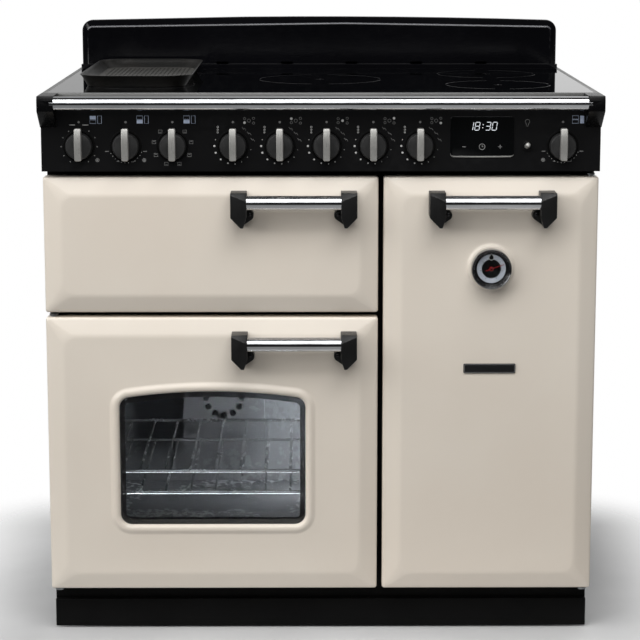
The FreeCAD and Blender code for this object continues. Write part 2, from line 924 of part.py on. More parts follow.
toggle = new_body("Toggle")
spin(toggle, (
    (0, S.toggle_tail), (S.toggle_tail_radius, S.toggle_tail), (S.toggle_radius, S.toggle_band),
    (S.toggle_radius, -S.toggle_band), (S.toggle_neck_radius, -S.toggle_neck),
    (S.toggle_tip_radius, S.toggle_tip - S.toggle_length),
    (S.toggle_dome_radius, S.toggle_dome - S.toggle_length),
    (S.toggle_end_radius, -S.toggle_length), (0, -S.toggle_length)))
cross_pin = circle(on_plane(toggle, "YZ_Plane", -S.toggle_pin_length / 2), 0, 0, S.toggle_pin)
pad(toggle, cross_pin, S.toggle_pin_length)
toggle.Placement = Placement(Vector(), Rotation(Vector(1, 0, 0), -12))
moved(toggle, toggle_x, toggle_y, knob_z)
node(toggle, "light_toggle")


# Hob, splashback and rail

hob_front_y = face_y + S.hob_setback
glass_y0 = hob_front_y + S.trim_width
glass_x = half_width - S.trim_width
ledge_y = back_y - S.splash_depth - S.ledge_depth
glass_y1 = ledge_y
through_x = glass_x - S.trim_ledge
hob_trim = cut(
    span(-half_width, half_width, hob_front_y, back_y, panel_top, hob_z),
    span(-glass_x, glass_x, glass_y0, glass_y1, hob_z - S.glass_sheet, hob_z + over),
    span(-through_x, through_x, glass_y0 + S.trim_ledge, glass_y1 - S.trim_ledge, panel_top - over, hob_z))
node(hob_trim, "hob_trim")

glass = new_body("HobGlass")
glass_edge = rounded(on_plane(glass, "XY_Plane", hob_z - S.glass_sheet), S.glass_gap - glass_x,
                     glass_x - S.glass_gap, glass_y0 + S.glass_gap, glass_y1 - S.glass_gap, S.glass_radius)
pad(glass, glass_edge, S.glass_sheet)
node(glass, "hob_glass")


def coil(x, y, radius):
    top = hob_z - S.glass_sheet
    floor = panel_top - S.coil_tray_height + S.case_sheet
    post = rod("z", x, y, floor, S.coil_post, top - floor)
    return fuse(rod("z", x, y, top - S.coil_thickness, radius, S.coil_thickness), post)


tray_x = through_x + S.coil_tray_overlap
tray_y0, tray_y1 = inner_y + S.coil_tray_gap, glass_y1 - S.trim_ledge + S.coil_tray_overlap
coil_tray = cut(
    span(-tray_x, tray_x, tray_y0, tray_y1, panel_top - S.coil_tray_height, panel_top),
    span(S.case_sheet - tray_x, tray_x - S.case_sheet, tray_y0 + S.case_sheet, tray_y1 - S.case_sheet,
         panel_top - S.coil_tray_height + S.case_sheet, panel_top + over))
coil_mid_y = (tray_y0 + tray_y1) / 2
coil_x = tray_x - S.coil_side_gap - S.coil_radius
coil_y = (tray_y1 - tray_y0) / 2 - S.coil_end_gap - S.coil_radius
coils = [coil(sign * coil_x, coil_mid_y + turn * coil_y, S.coil_radius)
         for sign in (-1, 1) for turn in (-1, 1)]
coils.append(coil(as_size(0), coil_mid_y, S.centre_coil_radius))
node(group(coil_tray, *coils), "induction_module")

splash_x = half_width - S.splash_inset
splash_y = back_y - S.splash_depth
splash = new_body("Splashback")
splash_top = hob_z + S.splash_height
upstand = crowned(on_plane(splash, "XZ_Plane", -back_y), -splash_x, splash_x, hob_z, splash_top,
                  S.splash_rise)
upright = pad(splash, upstand, S.splash_depth)


def top_corner(edge):
    return along_y(edge) and edge.BoundBox.ZMin > hob_z.value + 1


def front_rim(edge):
    return at_y(splash_y)(edge) and edge.BoundBox.ZMax > hob_z.value + 1


shoulders = rounding(splash, upright, S.splash_radius, top_corner)
bevel = splash.newObject("PartDesign::Chamfer", "Chamfer")
bevel.Base = (shoulders, edge_names(shoulders, front_rim))
bevel.ChamferType = 0
bind(bevel, {"Size": S.splash_bevel})
splash.Tip = bevel
t = S.splash_sheet
room = rounded(on_plane(splash, "XZ_Plane", -back_y), t - splash_x, splash_x - t, hob_z + t, splash_top - t,
               S.splash_radius - t)
pocket(splash, room, S.splash_depth - S.splash_bevel - t, back=True)
deep = S.splash_bevel + t
core = rounded(on_plane(splash, "XZ_Plane", -back_y), deep - splash_x, splash_x - deep, hob_z + t,
               splash_top - deep, S.splash_radius - deep)
pocket(splash, core, S.splash_depth - t, back=True)
splash_ledge = span(-splash_x, splash_x, ledge_y, splash_y + t, hob_z, hob_z + S.ledge_height)
slot_z = hob_z + S.ledge_height
slots = []
for place in range(SIZES["slot_count"]):
    x = S.slot_pitch * (place - (S.slot_count - 1) / 2)
    slots.append(span(x - S.slot_width / 2, x + S.slot_width / 2, splash_y - S.slot_depth / 2,
                      splash_y + S.slot_depth, slot_z - S.slot_sink, slot_z + S.slot_height))
node(cut(fuse(splash, splash_ledge), *slots), "splashback")

rail_radius = S.rail_diameter / 2
rail_y = front_y + rail_radius
rail_z = hob_z - S.rail_drop
rail_end = half_width - S.cap_width + S.rail_seat
rail = cut(rod("x", -rail_end, rail_y, rail_z, rail_radius, rail_end * 2),
           rod("x", -rail_end - over, rail_y, rail_z, rail_radius - S.rail_wall, (rail_end + over) * 2))
node(rail, "hand_rail")


def rail_cap(sign):
    body = new_body("RailCap")
    low, high = pair(sign, half_width - S.cap_width, half_width)
    sketch = outline(on_plane(body, "YZ_Plane", low), (
        (hob_front_y, panel_top), (hob_front_y, hob_z), (front_y + S.cap_nose_depth, hob_z),
        (front_y, hob_z - S.cap_nose), (front_y, rail_z - rail_radius - S.cap_chin),
        (face_y, hob_z - S.cap_height), (face_y, panel_top)))
    pad(body, sketch, high - low)
    gap = S.rail_clearance
    start, end = pair(sign, half_width - S.cap_width - over, rail_end + gap)
    return cut(body, rod("x", start, rail_y, rail_z, rail_radius + gap, end - start))


node(group(rail_cap(-1), rail_cap(1)), "rail_end_caps")


# Griddle

griddle = new_body("Griddle")
half_x, half_y = S.griddle_width / 2, S.griddle_length / 2


def griddle_ring(level, inset, radius):
    return rounded(on_plane(griddle, "XY_Plane", level), inset - half_x, half_x - inset, inset - half_y,
                   half_y - inset, radius)


wall = S.griddle_wall
loft(griddle, griddle_ring(0, S.griddle_taper, S.griddle_foot_radius),
     griddle_ring(S.griddle_height, 0, S.griddle_radius))
hollow(griddle, griddle_ring(S.griddle_floor, S.griddle_taper + wall, S.griddle_foot_radius - wall),
       griddle_ring(S.griddle_height, wall, S.griddle_radius - wall))
rib_end = half_y - S.griddle_taper - wall - S.rib_margin
rib_row = S.rib_pitch * (S.rib_count - 1)
rib_x0, rib_x1 = -rib_row / 2 - S.rib_width / 2, -rib_row / 2 + S.rib_width / 2
rib_sketch = outline(on_plane(griddle, "XY_Plane", S.griddle_floor), (
    (rib_x0, -rib_end), (rib_x1, -rib_end), (rib_x1, rib_end), (rib_x0, rib_end)))
rib = pad(griddle, rib_sketch, S.rib_height)
ribs = griddle.newObject("PartDesign::LinearPattern", "Ribs")
ribs.Originals = [rib]
ribs.Direction = (rib_sketch, ["H_Axis"])
bind(ribs, {"Length": rib_row, "Occurrences": S.rib_count})
griddle.Tip = ribs
moved(griddle, S.griddle_inset - half_width + half_x, glass_y1 - S.griddle_rear_gap - half_y, hob_z)
node(griddle, "griddle")


# Ovens and grill

def cavity(x0, x1, y1, z0, z1, holes):
    wall = S.cavity_sheet
    outer = span(x0 - wall, x1 + wall, inner_y, y1 + wall, z0 - wall, z1 + wall)
    return cut(outer, span(x0, x1, inner_y - over, y1, z0, z1), *holes)


ladders, racks, covers, motors, lamps, seals = [], [], [], [], [], []


def ladder(oven, sign):
    # Two posts against the side wall with a bar at every shelf level
    reach = oven.half - S.wire_gap - S.post_radius
    x = oven.mid + sign * reach
    bar_x = oven.mid + sign * (reach - S.post_radius - S.bar_radius + S.weld_depth)
    y0, y1 = inner_y + S.ladder_front, oven_back_y - S.cover_depth - S.ladder_rear
    posts = [rod("z", x, y, oven_z + S.post_lift, S.post_radius, oven.height - 2 * S.post_lift)
             for y in (y0 + S.post_inset, y1 - S.post_inset)]
    levels = int(((oven.height - S.shelf_first - S.shelf_head) / S.shelf_pitch).value) + 1
    bars = [rod("y", bar_x, y0, oven_z + S.shelf_first + S.shelf_pitch * level, S.bar_radius, y1 - y0)
            for level in range(levels)]
    return fuse(*posts, *bars)


def rack(oven, level):
    z = oven_z + S.shelf_first + S.shelf_pitch * level + S.bar_radius + S.wire_gap + S.rack_side
    x = oven.half - S.rack_inset
    y0, y1 = inner_y + S.rack_front, oven_back_y - S.cover_depth - S.rack_rear
    rim = [rod("y", oven.mid + sign * x, y0, z, S.rack_side, y1 - y0) for sign in (-1, 1)]
    rim += [rod("x", oven.mid - x - S.rack_rim, y, z, S.rack_rim, (x + S.rack_rim) * 2) for y in (y0, y1)]
    step = 2 * x / (oven.wires + 1)
    wires = [rod("y", oven.mid - x + step * (i + 1), y0, z, S.rack_wire, y1 - y0)
             for i in range(int(oven.wires.value))]
    return fuse(*rim, *wires)


def wheel_of(body, item, count):
    # Copies of one feature evenly round the body's Y axis
    ring = body.newObject("PartDesign::PolarPattern", "Ring")
    ring.Originals = [item]
    ring.Axis = (next(part for part in body.Origin.OriginFeatures if part.Role == "Y_Axis"), [""])
    ring.Angle = 360
    bind(ring, {"Occurrences": count})
    body.Tip = ring


def fan_cover():
    body = new_body("FanCover")
    t, r = S.cavity_sheet, S.cover_radius
    wide, high = S.cover_width / 2, S.cover_height / 2
    pad(body, rounded(on_plane(body, "XZ_Plane"), -wide, wide, -high, high, r), S.cover_depth)
    room = rounded(on_plane(body, "XZ_Plane"), t - wide, wide - t, t - high, high - t, r - t)
    pocket(body, room, S.cover_depth - t, back=True)
    eye = circle(on_plane(body, "XZ_Plane", S.cover_depth), 0, S.eye_ring, S.eye_radius)
    wheel_of(body, pocket(body, eye, t + S.root), S.eye_count)
    return body


def fan(oven, label):
    body = new_body("Fan")
    near, far = -S.fan_setback, -S.fan_setback - S.fan_sheet
    end = near - S.root - S.blade_depth
    spin(body, (
        (0, S.shaft_reach), (S.fan_shaft, S.shaft_reach), (S.fan_shaft, near), (S.fan_radius, near),
        (S.fan_radius, far), (S.fan_hub, far), (S.fan_hub, end), (0, end)))
    outer, half = S.fan_radius - S.blade_end_gap, S.fan_sheet / 2
    inner = outer - S.blade_length
    plane = on_plane(body, "XZ_Plane", S.fan_setback + S.root)
    blade = outline(plane, ((inner, -half), (outer, -half), (outer, half), (inner, half)))
    wheel_of(body, pad(body, blade, S.blade_depth), S.blade_count)
    moved(body, oven.mid, oven_back_y, oven_z + oven.height / 2)
    return node(body, label)


for side, oven in OVENS.items():
    x0, x1 = oven.mid - oven.half, oven.mid + oven.half
    mid_z = oven_z + oven.height / 2
    shaft_hole = rod("y", oven.mid, oven_back_y - over, mid_z, S.fan_shaft + S.shaft_clearance,
                     S.cavity_sheet + 2 * over)
    node(cavity(x0, x1, oven_back_y, oven_z, oven_z + oven.height, [shaft_hole]), f"{side}_oven_liner")
    ladders += [ladder(oven, sign) for sign in (-1, 1)]
    racks += [rack(oven, level) for level in oven.racks]
    covers.append(moved(fan_cover(), oven.mid, oven_back_y, mid_z))
    fan(oven, f"{side}_fan")
    rear = oven_back_y + S.cavity_sheet
    motors.append(cut(rod("y", oven.mid, rear, mid_z, S.motor_radius, S.motor_depth),
                      rod("y", oven.mid, rear - over, mid_z, S.fan_shaft + S.pin_slack,
                          S.shaft_reach + S.shaft_end_gap - S.cavity_sheet + over)))
    lamps.append(rod("y", oven.mid + oven.lamp_x, oven_back_y - S.lamp_depth,
                     oven_z + oven.height - S.lamp_drop, S.lamp_radius, S.lamp_depth))
    rim = S.seal_width
    seals.append(cut(
        span(x0 - rim, x1 + rim, door_back_y + S.seal_slack, frame_y, oven_z - rim,
             oven_z + oven.height + rim),
        span(x0, x1, door_back_y - over, frame_y + over, oven_z, oven_z + oven.height)))

element_z = grill_top - S.element_drop
leg_x = grill_half - S.element_side
leg_holes = [rod("y", left_mid + sign * leg_x, grill_back_y - over, element_z,
                 S.element_radius + S.element_clearance, S.cavity_sheet + 2 * over) for sign in (-1, 1)]
node(cavity(grill_x0, grill_x1, grill_back_y, grill_z, grill_top, leg_holes), "grill_liner")


def element_path():
    # Six runs joined by half turns, the two outer ends led out through the rear wall
    pitch = leg_x.value * 2 / 5
    turn = pitch / 2
    near = inner_y.value + S.element_front.value + turn
    far = grill_back_y.value - S.element_rear.value - turn
    end = grill_back_y.value + S.element_tail.value
    z = element_z.value
    xs = [left_mid.value - leg_x.value + pitch * i for i in range(6)]
    edges = []
    for i, x in enumerate(xs):
        start = Vector(x, end if i in (0, 5) else far, z)
        edges.append(Part.LineSegment(start, Vector(x, near, z)).toShape())
    for i in range(5):
        level, way = (near, -turn) if i % 2 == 0 else (far, turn)
        middle = Vector(xs[i] + turn, level + way, z)
        edges.append(Part.Arc(Vector(xs[i], level, z), middle, Vector(xs[i + 1], level, z)).toShape())
    return Part.Wire(Part.__sortEdges__(edges))


element = doc.addObject("Part::Feature", "Element")
path = element_path()
start = path.OrderedVertexes[0].Point
ring = Part.Wire(Part.makeCircle(S.element_radius.value, start, Vector(0, 1, 0)))
element.Shape = path.makePipeShell([ring], True, False)
node(element, "grill_element")

pan_half = grill_half - S.pan_side
pan_x0, pan_x1 = left_mid - pan_half, left_mid + pan_half
pan_y0, pan_y1 = inner_y + S.pan_setback, grill_back_y - S.pan_rear_gap
pan_top = grill_z + S.pan_lift
rim, lip, t = S.pan_rim, S.pan_lip, S.pan_sheet
pan = cut(
    fuse(span(pan_x0, pan_x1, pan_y0, pan_y1, pan_top - S.pan_depth, pan_top),
         span(pan_x0 - rim, pan_x1 + rim, pan_y0 - lip, pan_y1 + lip, pan_top - t, pan_top)),
    span(pan_x0 + t, pan_x1 - t, pan_y0 + t, pan_y1 - t, pan_top - S.pan_depth + t, pan_top + over))
grid_z = pan_top + S.rack_wire + S.wire_gap
grid_x0, grid_x1 = pan_x0 - S.grid_overhang, pan_x1 + S.grid_overhang
grid_step = (pan_y1 - pan_y0) / S.grid_count
grid_sides = [rod("y", x, pan_y0, grid_z, S.rack_wire, pan_y1 - pan_y0) for x in (grid_x0, grid_x1)]
grid_wires = [rod("x", grid_x0, pan_y0 + grid_step * (i + 0.5), grid_z, S.rack_wire, grid_x1 - grid_x0)
              for i in range(SIZES["grid_count"])]
node(group(pan, fuse(*grid_sides, *grid_wires)), "grill_pan")


def runner(sign):
    # An angle on the side wall that the rim of the grill pan slides on
    t = S.runner_sheet
    high = pan_top - S.pan_sheet - S.wire_gap
    y0, y1 = inner_y + S.runner_setback, pan_y1 + S.runner_setback
    x0, x1 = pair(sign, pan_half + S.runner_gap, grill_half)
    wall0, wall1 = pair(sign, grill_half - t, grill_half)
    leg = span(left_mid + x0, left_mid + x1, y0, y1, high - t, high)
    return fuse(leg, span(left_mid + wall0, left_mid + wall1, y0, y1, high - t, high + S.runner_height))


node(group(*ladders, runner(-1), runner(1)), "shelf_supports")
node(group(*racks), "oven_racks")
node(group(*covers), "fan_covers")
node(group(*motors), "fan_motors")
node(group(*lamps), "oven_lamps")
node(group(*seals), "door_seals")


# Doors

def door_skin(x0, x1, z0, z1):
    # Pressed skin: flat sides, a bevel all round, and a raised field with round corners
    body = new_body("DoorSkin")
    rim = rounded(on_plane(body, "XZ_Plane", -bevel_y), x0, x1, z0, z1, S.edge_radius)
    pad(body, rim, S.skin_depth - S.bevel_depth, back=True)
    wide = rounded(on_plane(body, "XZ_Plane", -bevel_y), x0, x1, z0, z1, S.edge_radius)
    b = S.bevel_width
    field = rounded(on_plane(body, "XZ_Plane", -face_y), x0 + b, x1 - b, z0 + b, z1 - b, S.field_radius)
    loft(body, wide, field)
    t = S.skin_sheet
    room = rounded(on_plane(body, "XZ_Plane", -skin_back_y), x0 + t, x1 - t, z0 + t, z1 - t,
                   S.inner_edge_radius)
    pocket(body, room, S.skin_depth - S.bevel_depth - t, back=True)
    deep = b + S.field_wall
    inner = rounded(on_plane(body, "XZ_Plane", -bevel_y - t), x0 + deep, x1 - deep, z0 + deep, z1 - deep,
                    S.field_radius)
    pocket(body, inner, S.bevel_depth, back=True)
    return body


def door_liner(x0, x1, z0, z1):
    # Inner side of a door: a shallow tray with sloping sides
    body = new_body("DoorLiner")
    edge = S.door_inset
    low = edge + S.liner_slope
    r = S.liner_radius
    wide = rounded(on_plane(body, "XZ_Plane", -skin_back_y), x0 + edge, x1 - edge, z0 + edge, z1 - edge, r)
    narrow = rounded(on_plane(body, "XZ_Plane", -door_back_y), x0 + low, x1 - low, z0 + low, z1 - low, r)
    loft(body, wide, narrow)
    t = low + S.liner_sheet
    room = rounded(on_plane(body, "XZ_Plane", -skin_back_y), x0 + t, x1 - t, z0 + t, z1 - t, r)
    pocket(body, room, S.door_thickness - S.skin_depth - S.liner_sheet)
    return body


bar_y = front_y + S.handle_bar / 2


def bracket(edge_x, sign, top_z):
    # One handle bracket; sign gives the way from its outer edge to the bar
    body = new_body("Bracket")
    w, h = S.bracket_width, S.bracket_height
    toe = S.bracket_toe
    corners = ((0, 0), (w, 0), (w, -S.bracket_inner_side), (toe + S.bracket_toe_width, -h), (toe, -h),
               (0, -S.bracket_outer_side))
    points = [(edge_x + sign * u, top_z + v) for u, v in corners]
    head = pad(body, outline(on_plane(body, "XZ_Plane", -front_y - S.bracket_depth), points), S.bracket_depth)
    top = as_size(top_z).value
    names = edge_names(head, lambda edge: at_y(front_y)(edge) and edge.BoundBox.ZMin > top - 1e-6)
    slope = body.newObject("PartDesign::Chamfer", "Chamfer")
    slope.Base = (head, names)
    bind(slope, {"Size": S.bar_drop - S.handle_bar / 2})
    body.Tip = slope
    lobe = rod("y", edge_x + sign * w, front_y + S.bracket_depth - S.lobe_root, top_z - S.lobe_drop,
               S.lobe_radius, S.front_reach - S.bracket_depth + S.lobe_root)
    near = edge_x + sign * (w - S.socket_depth)
    start = near if sign > 0 else near - S.socket_depth - over
    socket = rod("x", start, bar_y, top_z - S.bar_drop, S.handle_bar / 2 + S.bar_clearance,
                 S.socket_depth + over)
    return cut(fuse(body, lobe), socket)


def handle(label, x0, door_z1):
    top_z = door_z1 - S.handle_drop
    x1 = x0 + S.handle_length
    node(group(bracket(x0, 1, top_z), bracket(x1, -1, top_z)), f"{label}_handle_brackets")
    inset = S.bracket_width - S.socket_depth
    bar = rod("x", x0 + inset, bar_y, top_z - S.bar_drop, S.handle_bar / 2, S.handle_length - 2 * inset)
    node(bar, f"{label}_handle_bar")


def hinge_bores(x, z0, z1):
    start = S.skin_sheet + over
    return [rod("z", x, hinge_y, z - start, bore_radius, start * 2) for z in (z0, z1)]


def window_block(grow, y0, y1):
    # The arched window's outline, grown all round, as a block between two depths
    body = new_body("Window")
    half = S.left_door_width / 2 - S.window_side + grow
    low = oven_door_z + S.window_base - grow
    high = oven_door_top - S.window_head - S.window_rise + grow
    sketch = crowned(on_plane(body, "XZ_Plane", -y1), left_mid - half, left_mid + half, low, high,
                     S.window_rise)
    block = pad(body, sketch, y1 - y0)
    return body, rounding(body, block, S.window_radius + grow, along_y)


grill_box = (door_left, left_door_end, grill_door_z, door_top)
left_box = (door_left, left_door_end, oven_door_z, oven_door_top)
right_box = (right_door_start, door_right, oven_door_z, door_top)
left_handle_x = left_door_end - S.handle_margin - S.handle_length

# Grill door, notched at its lower corners for the two hinge lugs
notches, liner_notches, side_bores, lugs = [], [], [], []
lug_near = S.skin_sheet + S.lug_gap
lug_far = lug_near + S.grill_lug_sheet
notch_half = S.lug_radius + S.lug_gap


def from_edge(edge, sign, near, far):
    # The stretch of X that lies between two distances inwards from a door's edge
    return (edge + near, edge + far) if sign > 0 else (edge - far, edge - near)


for sign, edge in ((1, door_left), (-1, left_door_end)):
    notch_x = from_edge(edge, sign, S.skin_sheet, lug_far + S.lug_gap)
    lug_x = from_edge(edge, sign, lug_near, lug_far)
    pin_x = from_edge(edge, sign, S.pin_end_gap, lug_far)
    for store in (notches, liner_notches):
        store.append(span(*notch_x, hinge_y - notch_half, door_back_y + over, grill_door_z - over,
                          grill_hinge_z + notch_half))
    side_bores.append(rod("x", edge - over, hinge_y, grill_hinge_z, bore_radius, 2 * over))
    arm = span(*lug_x, hinge_y, frame_y, grill_hinge_z - S.lug_radius, grill_hinge_z + S.lug_radius)
    eye = rod("x", lug_x[0], hinge_y, grill_hinge_z, S.lug_radius, S.grill_lug_sheet)
    stub = rod("x", pin_x[0], hinge_y, grill_hinge_z, S.pin_radius, pin_x[1] - pin_x[0])
    lugs.append(fuse(arm, eye, stub))
node(cut(door_skin(*grill_box), *notches, *side_bores), "grill_door_panel")
node(cut(door_liner(*grill_box), *liner_notches), "grill_door_liner")
handle("grill", left_handle_x, door_top)

# Left oven door with its window
bead, bead_block = window_block(S.bead_width, face_y - S.bead_height, face_y + S.root)
rounding(bead, bead_block, S.bead_round, at_y(face_y - S.bead_height))
opening, _ = window_block(0, face_y - S.bead_height - over, skin_back_y)
inner_opening, _ = window_block(0, skin_back_y - over, door_back_y + over)
node(cut(fuse(door_skin(*left_box), bead), opening, *hinge_bores(left_hinge_x, oven_door_z, oven_door_top)),
     "left_door_panel")
node(cut(door_liner(*left_box), inner_opening), "left_door_liner")
pane, _ = window_block(S.pane_margin, face_y + S.skin_sheet, face_y + S.skin_sheet + S.pane_sheet)
inner_y0 = door_back_y - S.liner_sheet - S.pane_sheet
inner_pane, _ = window_block(S.pane_margin, inner_y0, inner_y0 + S.pane_sheet)
node(group(pane, inner_pane), "left_door_glass")
handle("left", left_handle_x, oven_door_top)

# Right oven door with its gauge and plate
gauge_z = oven_door_z + S.gauge_lift
boss = rod("y", right_mid, face_y - S.boss_height, gauge_z, S.boss_radius, S.boss_height + S.root)
stem_hole = rod("y", right_mid, face_y - S.boss_height - over, gauge_z, S.gauge_stem + S.stem_clearance,
                S.boss_height + S.skin_sheet + 2 * over)
node(cut(fuse(door_skin(*right_box), boss), stem_hole, *hinge_bores(right_hinge_x, oven_door_z, door_top)),
     "right_door_panel")
node(door_liner(*right_box), "right_door_liner")
handle("right", right_mid - S.handle_length / 2, door_top)

case_back, case_front = -S.boss_height, -S.boss_height - S.gauge_depth
bezel_y, dial_y = case_front + S.bezel_depth, case_front + S.dial_depth
lens_seat = S.gauge_radius - S.bezel_width
dial_radius = lens_seat - S.dial_border
gauge = new_body("GaugeCase")
spin(gauge, (
    (0, S.stem_reach), (S.gauge_stem, S.stem_reach), (S.gauge_stem, case_back), (S.gauge_radius, case_back),
    (S.gauge_radius, case_front + S.gauge_edge), (S.gauge_radius - S.gauge_edge, case_front),
    (lens_seat, case_front), (lens_seat, bezel_y), (dial_radius, bezel_y), (dial_radius, dial_y),
    (S.pivot_radius, dial_y), (S.pivot_radius, case_front + S.pivot_tip), (0, case_front + S.pivot_tip)))
moved(gauge, right_mid, face_y, gauge_z)
node(gauge, "gauge_case")
lens_y = face_y + bezel_y - S.lens_sheet
node(rod("y", right_mid, lens_y, gauge_z, lens_seat - S.lens_gap, S.lens_sheet), "gauge_lens")

needle = new_body("Needle")
needle_y, half = case_front + S.needle_depth, S.needle_hub_height / 2
needle_bore, needle_end = S.pivot_radius + S.pin_slack, S.gauge_radius - S.needle_end_gap
spin(needle, ((needle_bore, needle_y - half), (S.needle_hub, needle_y - half),
              (S.needle_hub, needle_y + half), (needle_bore, needle_y + half)))
pad(needle, outline(on_plane(needle, "XZ_Plane", S.needle_sheet / 2 - needle_y), (
    (S.needle_hub - S.root, -S.needle_root), (needle_end, -S.needle_point), (needle_end, S.needle_point),
    (S.needle_hub - S.root, S.needle_root))), S.needle_sheet)
needle.Placement = Placement(Vector(), Rotation(Vector(0, 1, 0), -20))
moved(needle, right_mid, face_y, gauge_z)
node(needle, "gauge_needle")

plate = new_body("Plate")
plate_z = oven_door_z + S.plate_lift
half_x, half_z = S.plate_width / 2, S.plate_height / 2
plate_edge = rounded(on_plane(plate, "XZ_Plane", -face_y), right_mid - half_x, right_mid + half_x,
                     plate_z - half_z, plate_z + half_z, S.plate_radius)
pad(plate, plate_edge, S.plate_sheet)
node(plate, "door_plate")


# Hinge lugs with fixed pins on the front frame

def side_lug(x, plate_z, pin_z):
    # A plate in the gap above or below a door, with the pin that enters the door
    arm = span(x - S.lug_radius, x + S.lug_radius, hinge_y, frame_y, plate_z, plate_z + S.lug_sheet)
    eye = rod("z", x, hinge_y, plate_z, S.lug_radius, S.lug_sheet)
    stub = rod("z", x, hinge_y, pin_z, S.pin_radius, S.pin_reach + S.lug_sheet)
    return fuse(arm, eye, stub)


for x, top in ((left_hinge_x, oven_door_top), (right_hinge_x, door_top)):
    low, high = oven_door_z - S.lug_gap - S.lug_sheet, top + S.lug_gap
    lugs.append(side_lug(x, low, low))
    lugs.append(side_lug(x, high, high - S.pin_reach))
node(group(*lugs), "door_hinges")


# Check and write

doc.recompute()
faults = [item.Label for item in doc.Objects if {"Invalid", "Error"} & set(item.State)]
for piece in NODES:
    if piece.Shape.isNull() or not piece.Shape.isValid() or not piece.Shape.Solids:
        faults.append(piece.Label)
if faults:
    raise RuntimeError("not built: " + ", ".join(faults))
os.makedirs("parts", exist_ok=True)
for piece in NODES:
    piece.Shape.exportStep(f"parts/{piece.Label}.step")
    print(piece.Label, len(piece.Shape.Solids), round(piece.Shape.Volume / 1000, 1))
print("nodes", len(NODES))
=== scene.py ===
import json
from math import cos, pi, radians, sin, tan

import bmesh
import bpy
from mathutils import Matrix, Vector

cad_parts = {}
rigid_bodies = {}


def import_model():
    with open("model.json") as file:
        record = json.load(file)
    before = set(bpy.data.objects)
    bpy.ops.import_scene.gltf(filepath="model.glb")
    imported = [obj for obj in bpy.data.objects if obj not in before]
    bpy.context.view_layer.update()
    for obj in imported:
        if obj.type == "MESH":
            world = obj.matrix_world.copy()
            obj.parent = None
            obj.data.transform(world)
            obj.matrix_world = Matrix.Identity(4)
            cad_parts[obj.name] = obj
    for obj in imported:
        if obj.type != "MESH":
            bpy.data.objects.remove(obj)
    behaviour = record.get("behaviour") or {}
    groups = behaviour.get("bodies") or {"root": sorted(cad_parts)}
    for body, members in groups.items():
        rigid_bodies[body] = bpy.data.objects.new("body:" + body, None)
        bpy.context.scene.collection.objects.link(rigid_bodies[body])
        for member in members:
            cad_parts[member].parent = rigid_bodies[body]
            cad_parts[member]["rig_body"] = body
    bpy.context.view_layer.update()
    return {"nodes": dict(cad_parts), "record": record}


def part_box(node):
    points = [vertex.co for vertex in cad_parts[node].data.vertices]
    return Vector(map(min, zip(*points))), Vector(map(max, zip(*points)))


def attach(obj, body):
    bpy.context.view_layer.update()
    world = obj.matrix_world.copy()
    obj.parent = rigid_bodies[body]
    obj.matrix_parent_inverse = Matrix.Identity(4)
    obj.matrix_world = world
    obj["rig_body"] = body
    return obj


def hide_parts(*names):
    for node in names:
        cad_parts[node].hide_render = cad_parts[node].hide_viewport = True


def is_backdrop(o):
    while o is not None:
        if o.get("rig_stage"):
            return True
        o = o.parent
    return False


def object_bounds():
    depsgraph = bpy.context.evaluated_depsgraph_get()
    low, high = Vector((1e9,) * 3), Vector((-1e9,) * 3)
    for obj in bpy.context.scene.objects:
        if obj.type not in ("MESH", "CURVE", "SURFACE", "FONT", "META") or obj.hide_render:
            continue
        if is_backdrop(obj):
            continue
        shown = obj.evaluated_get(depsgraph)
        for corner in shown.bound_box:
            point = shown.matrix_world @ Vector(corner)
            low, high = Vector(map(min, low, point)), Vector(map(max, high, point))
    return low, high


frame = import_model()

mm = 0.001
nodes = frame["nodes"]
scene = bpy.context.scene
print("stage: frame loaded,", len(nodes), "nodes")


def shade(red, green, blue):  # screen colour to a linear one
    def lin(c):
        c /= 255
        return c / 12.92 if c <= 0.04045 else ((c + 0.055) / 1.055) ** 2.4
    return (lin(red), lin(green), lin(blue), 1)


def join(tree, source, socket):  # an output is linked, a plain value is set
    if isinstance(source, bpy.types.NodeSocket):
        tree.links.new(source, socket)
    else:
        socket.default_value = source


def newNode(tree, kind, feeds=None, **settings):  # a short kind belongs to the tree's own family
    made = tree.nodes.new(kind if "Node" in kind else tree.bl_idname[:-4] + kind)
    for label, value in settings.items():
        setattr(made, label, value)
    for label, source in (feeds or {}).items():
        join(tree, source, made.inputs[label])
    return made


def flow(tree, kind, feeds=None, **settings):  # the first output of a new node
    return newNode(tree, kind, feeds, **settings).outputs[0]


def groupTree(kind, name, inputs, output):  # an empty group with named inputs and one output
    tree = bpy.data.node_groups.new(name, kind)
    for label, socketKind in inputs.items():
        tree.interface.new_socket(label, in_out="INPUT", socket_type="NodeSocket" + socketKind)
    tree.interface.new_socket(output, in_out="OUTPUT", socket_type="NodeSocket" + output)
    return tree, newNode(tree, "NodeGroupInput").outputs, newNode(tree, "NodeGroupOutput").inputs[0]


def ownPlace(tree):  # the piece's own coordinates, in metres
    return newNode(tree, "TexCoord").outputs["Object"]


def noise(tree, place, scale, detail, rough=0.5):
    feeds = {"Vector": place, "Scale": scale, "Detail": detail, "Roughness": rough}
    return newNode(tree, "TexNoise", feeds).outputs["Fac"]


def ranged(tree, value, low, high, toLow=0, toHigh=1):
    feeds = dict(enumerate((value, low, high, toLow, toHigh)))
    return newNode(tree, "MapRange", feeds, interpolation_type="SMOOTHSTEP").outputs["Result"]


def sums(tree, how, first, second=0):
    return flow(tree, "Math", {0: first, 1: second}, operation=how)


def mixedColour(tree, mask, first, second):
    return newNode(tree, "Mix", {0: mask, 6: first, 7: second}, data_type="RGBA").outputs[2]


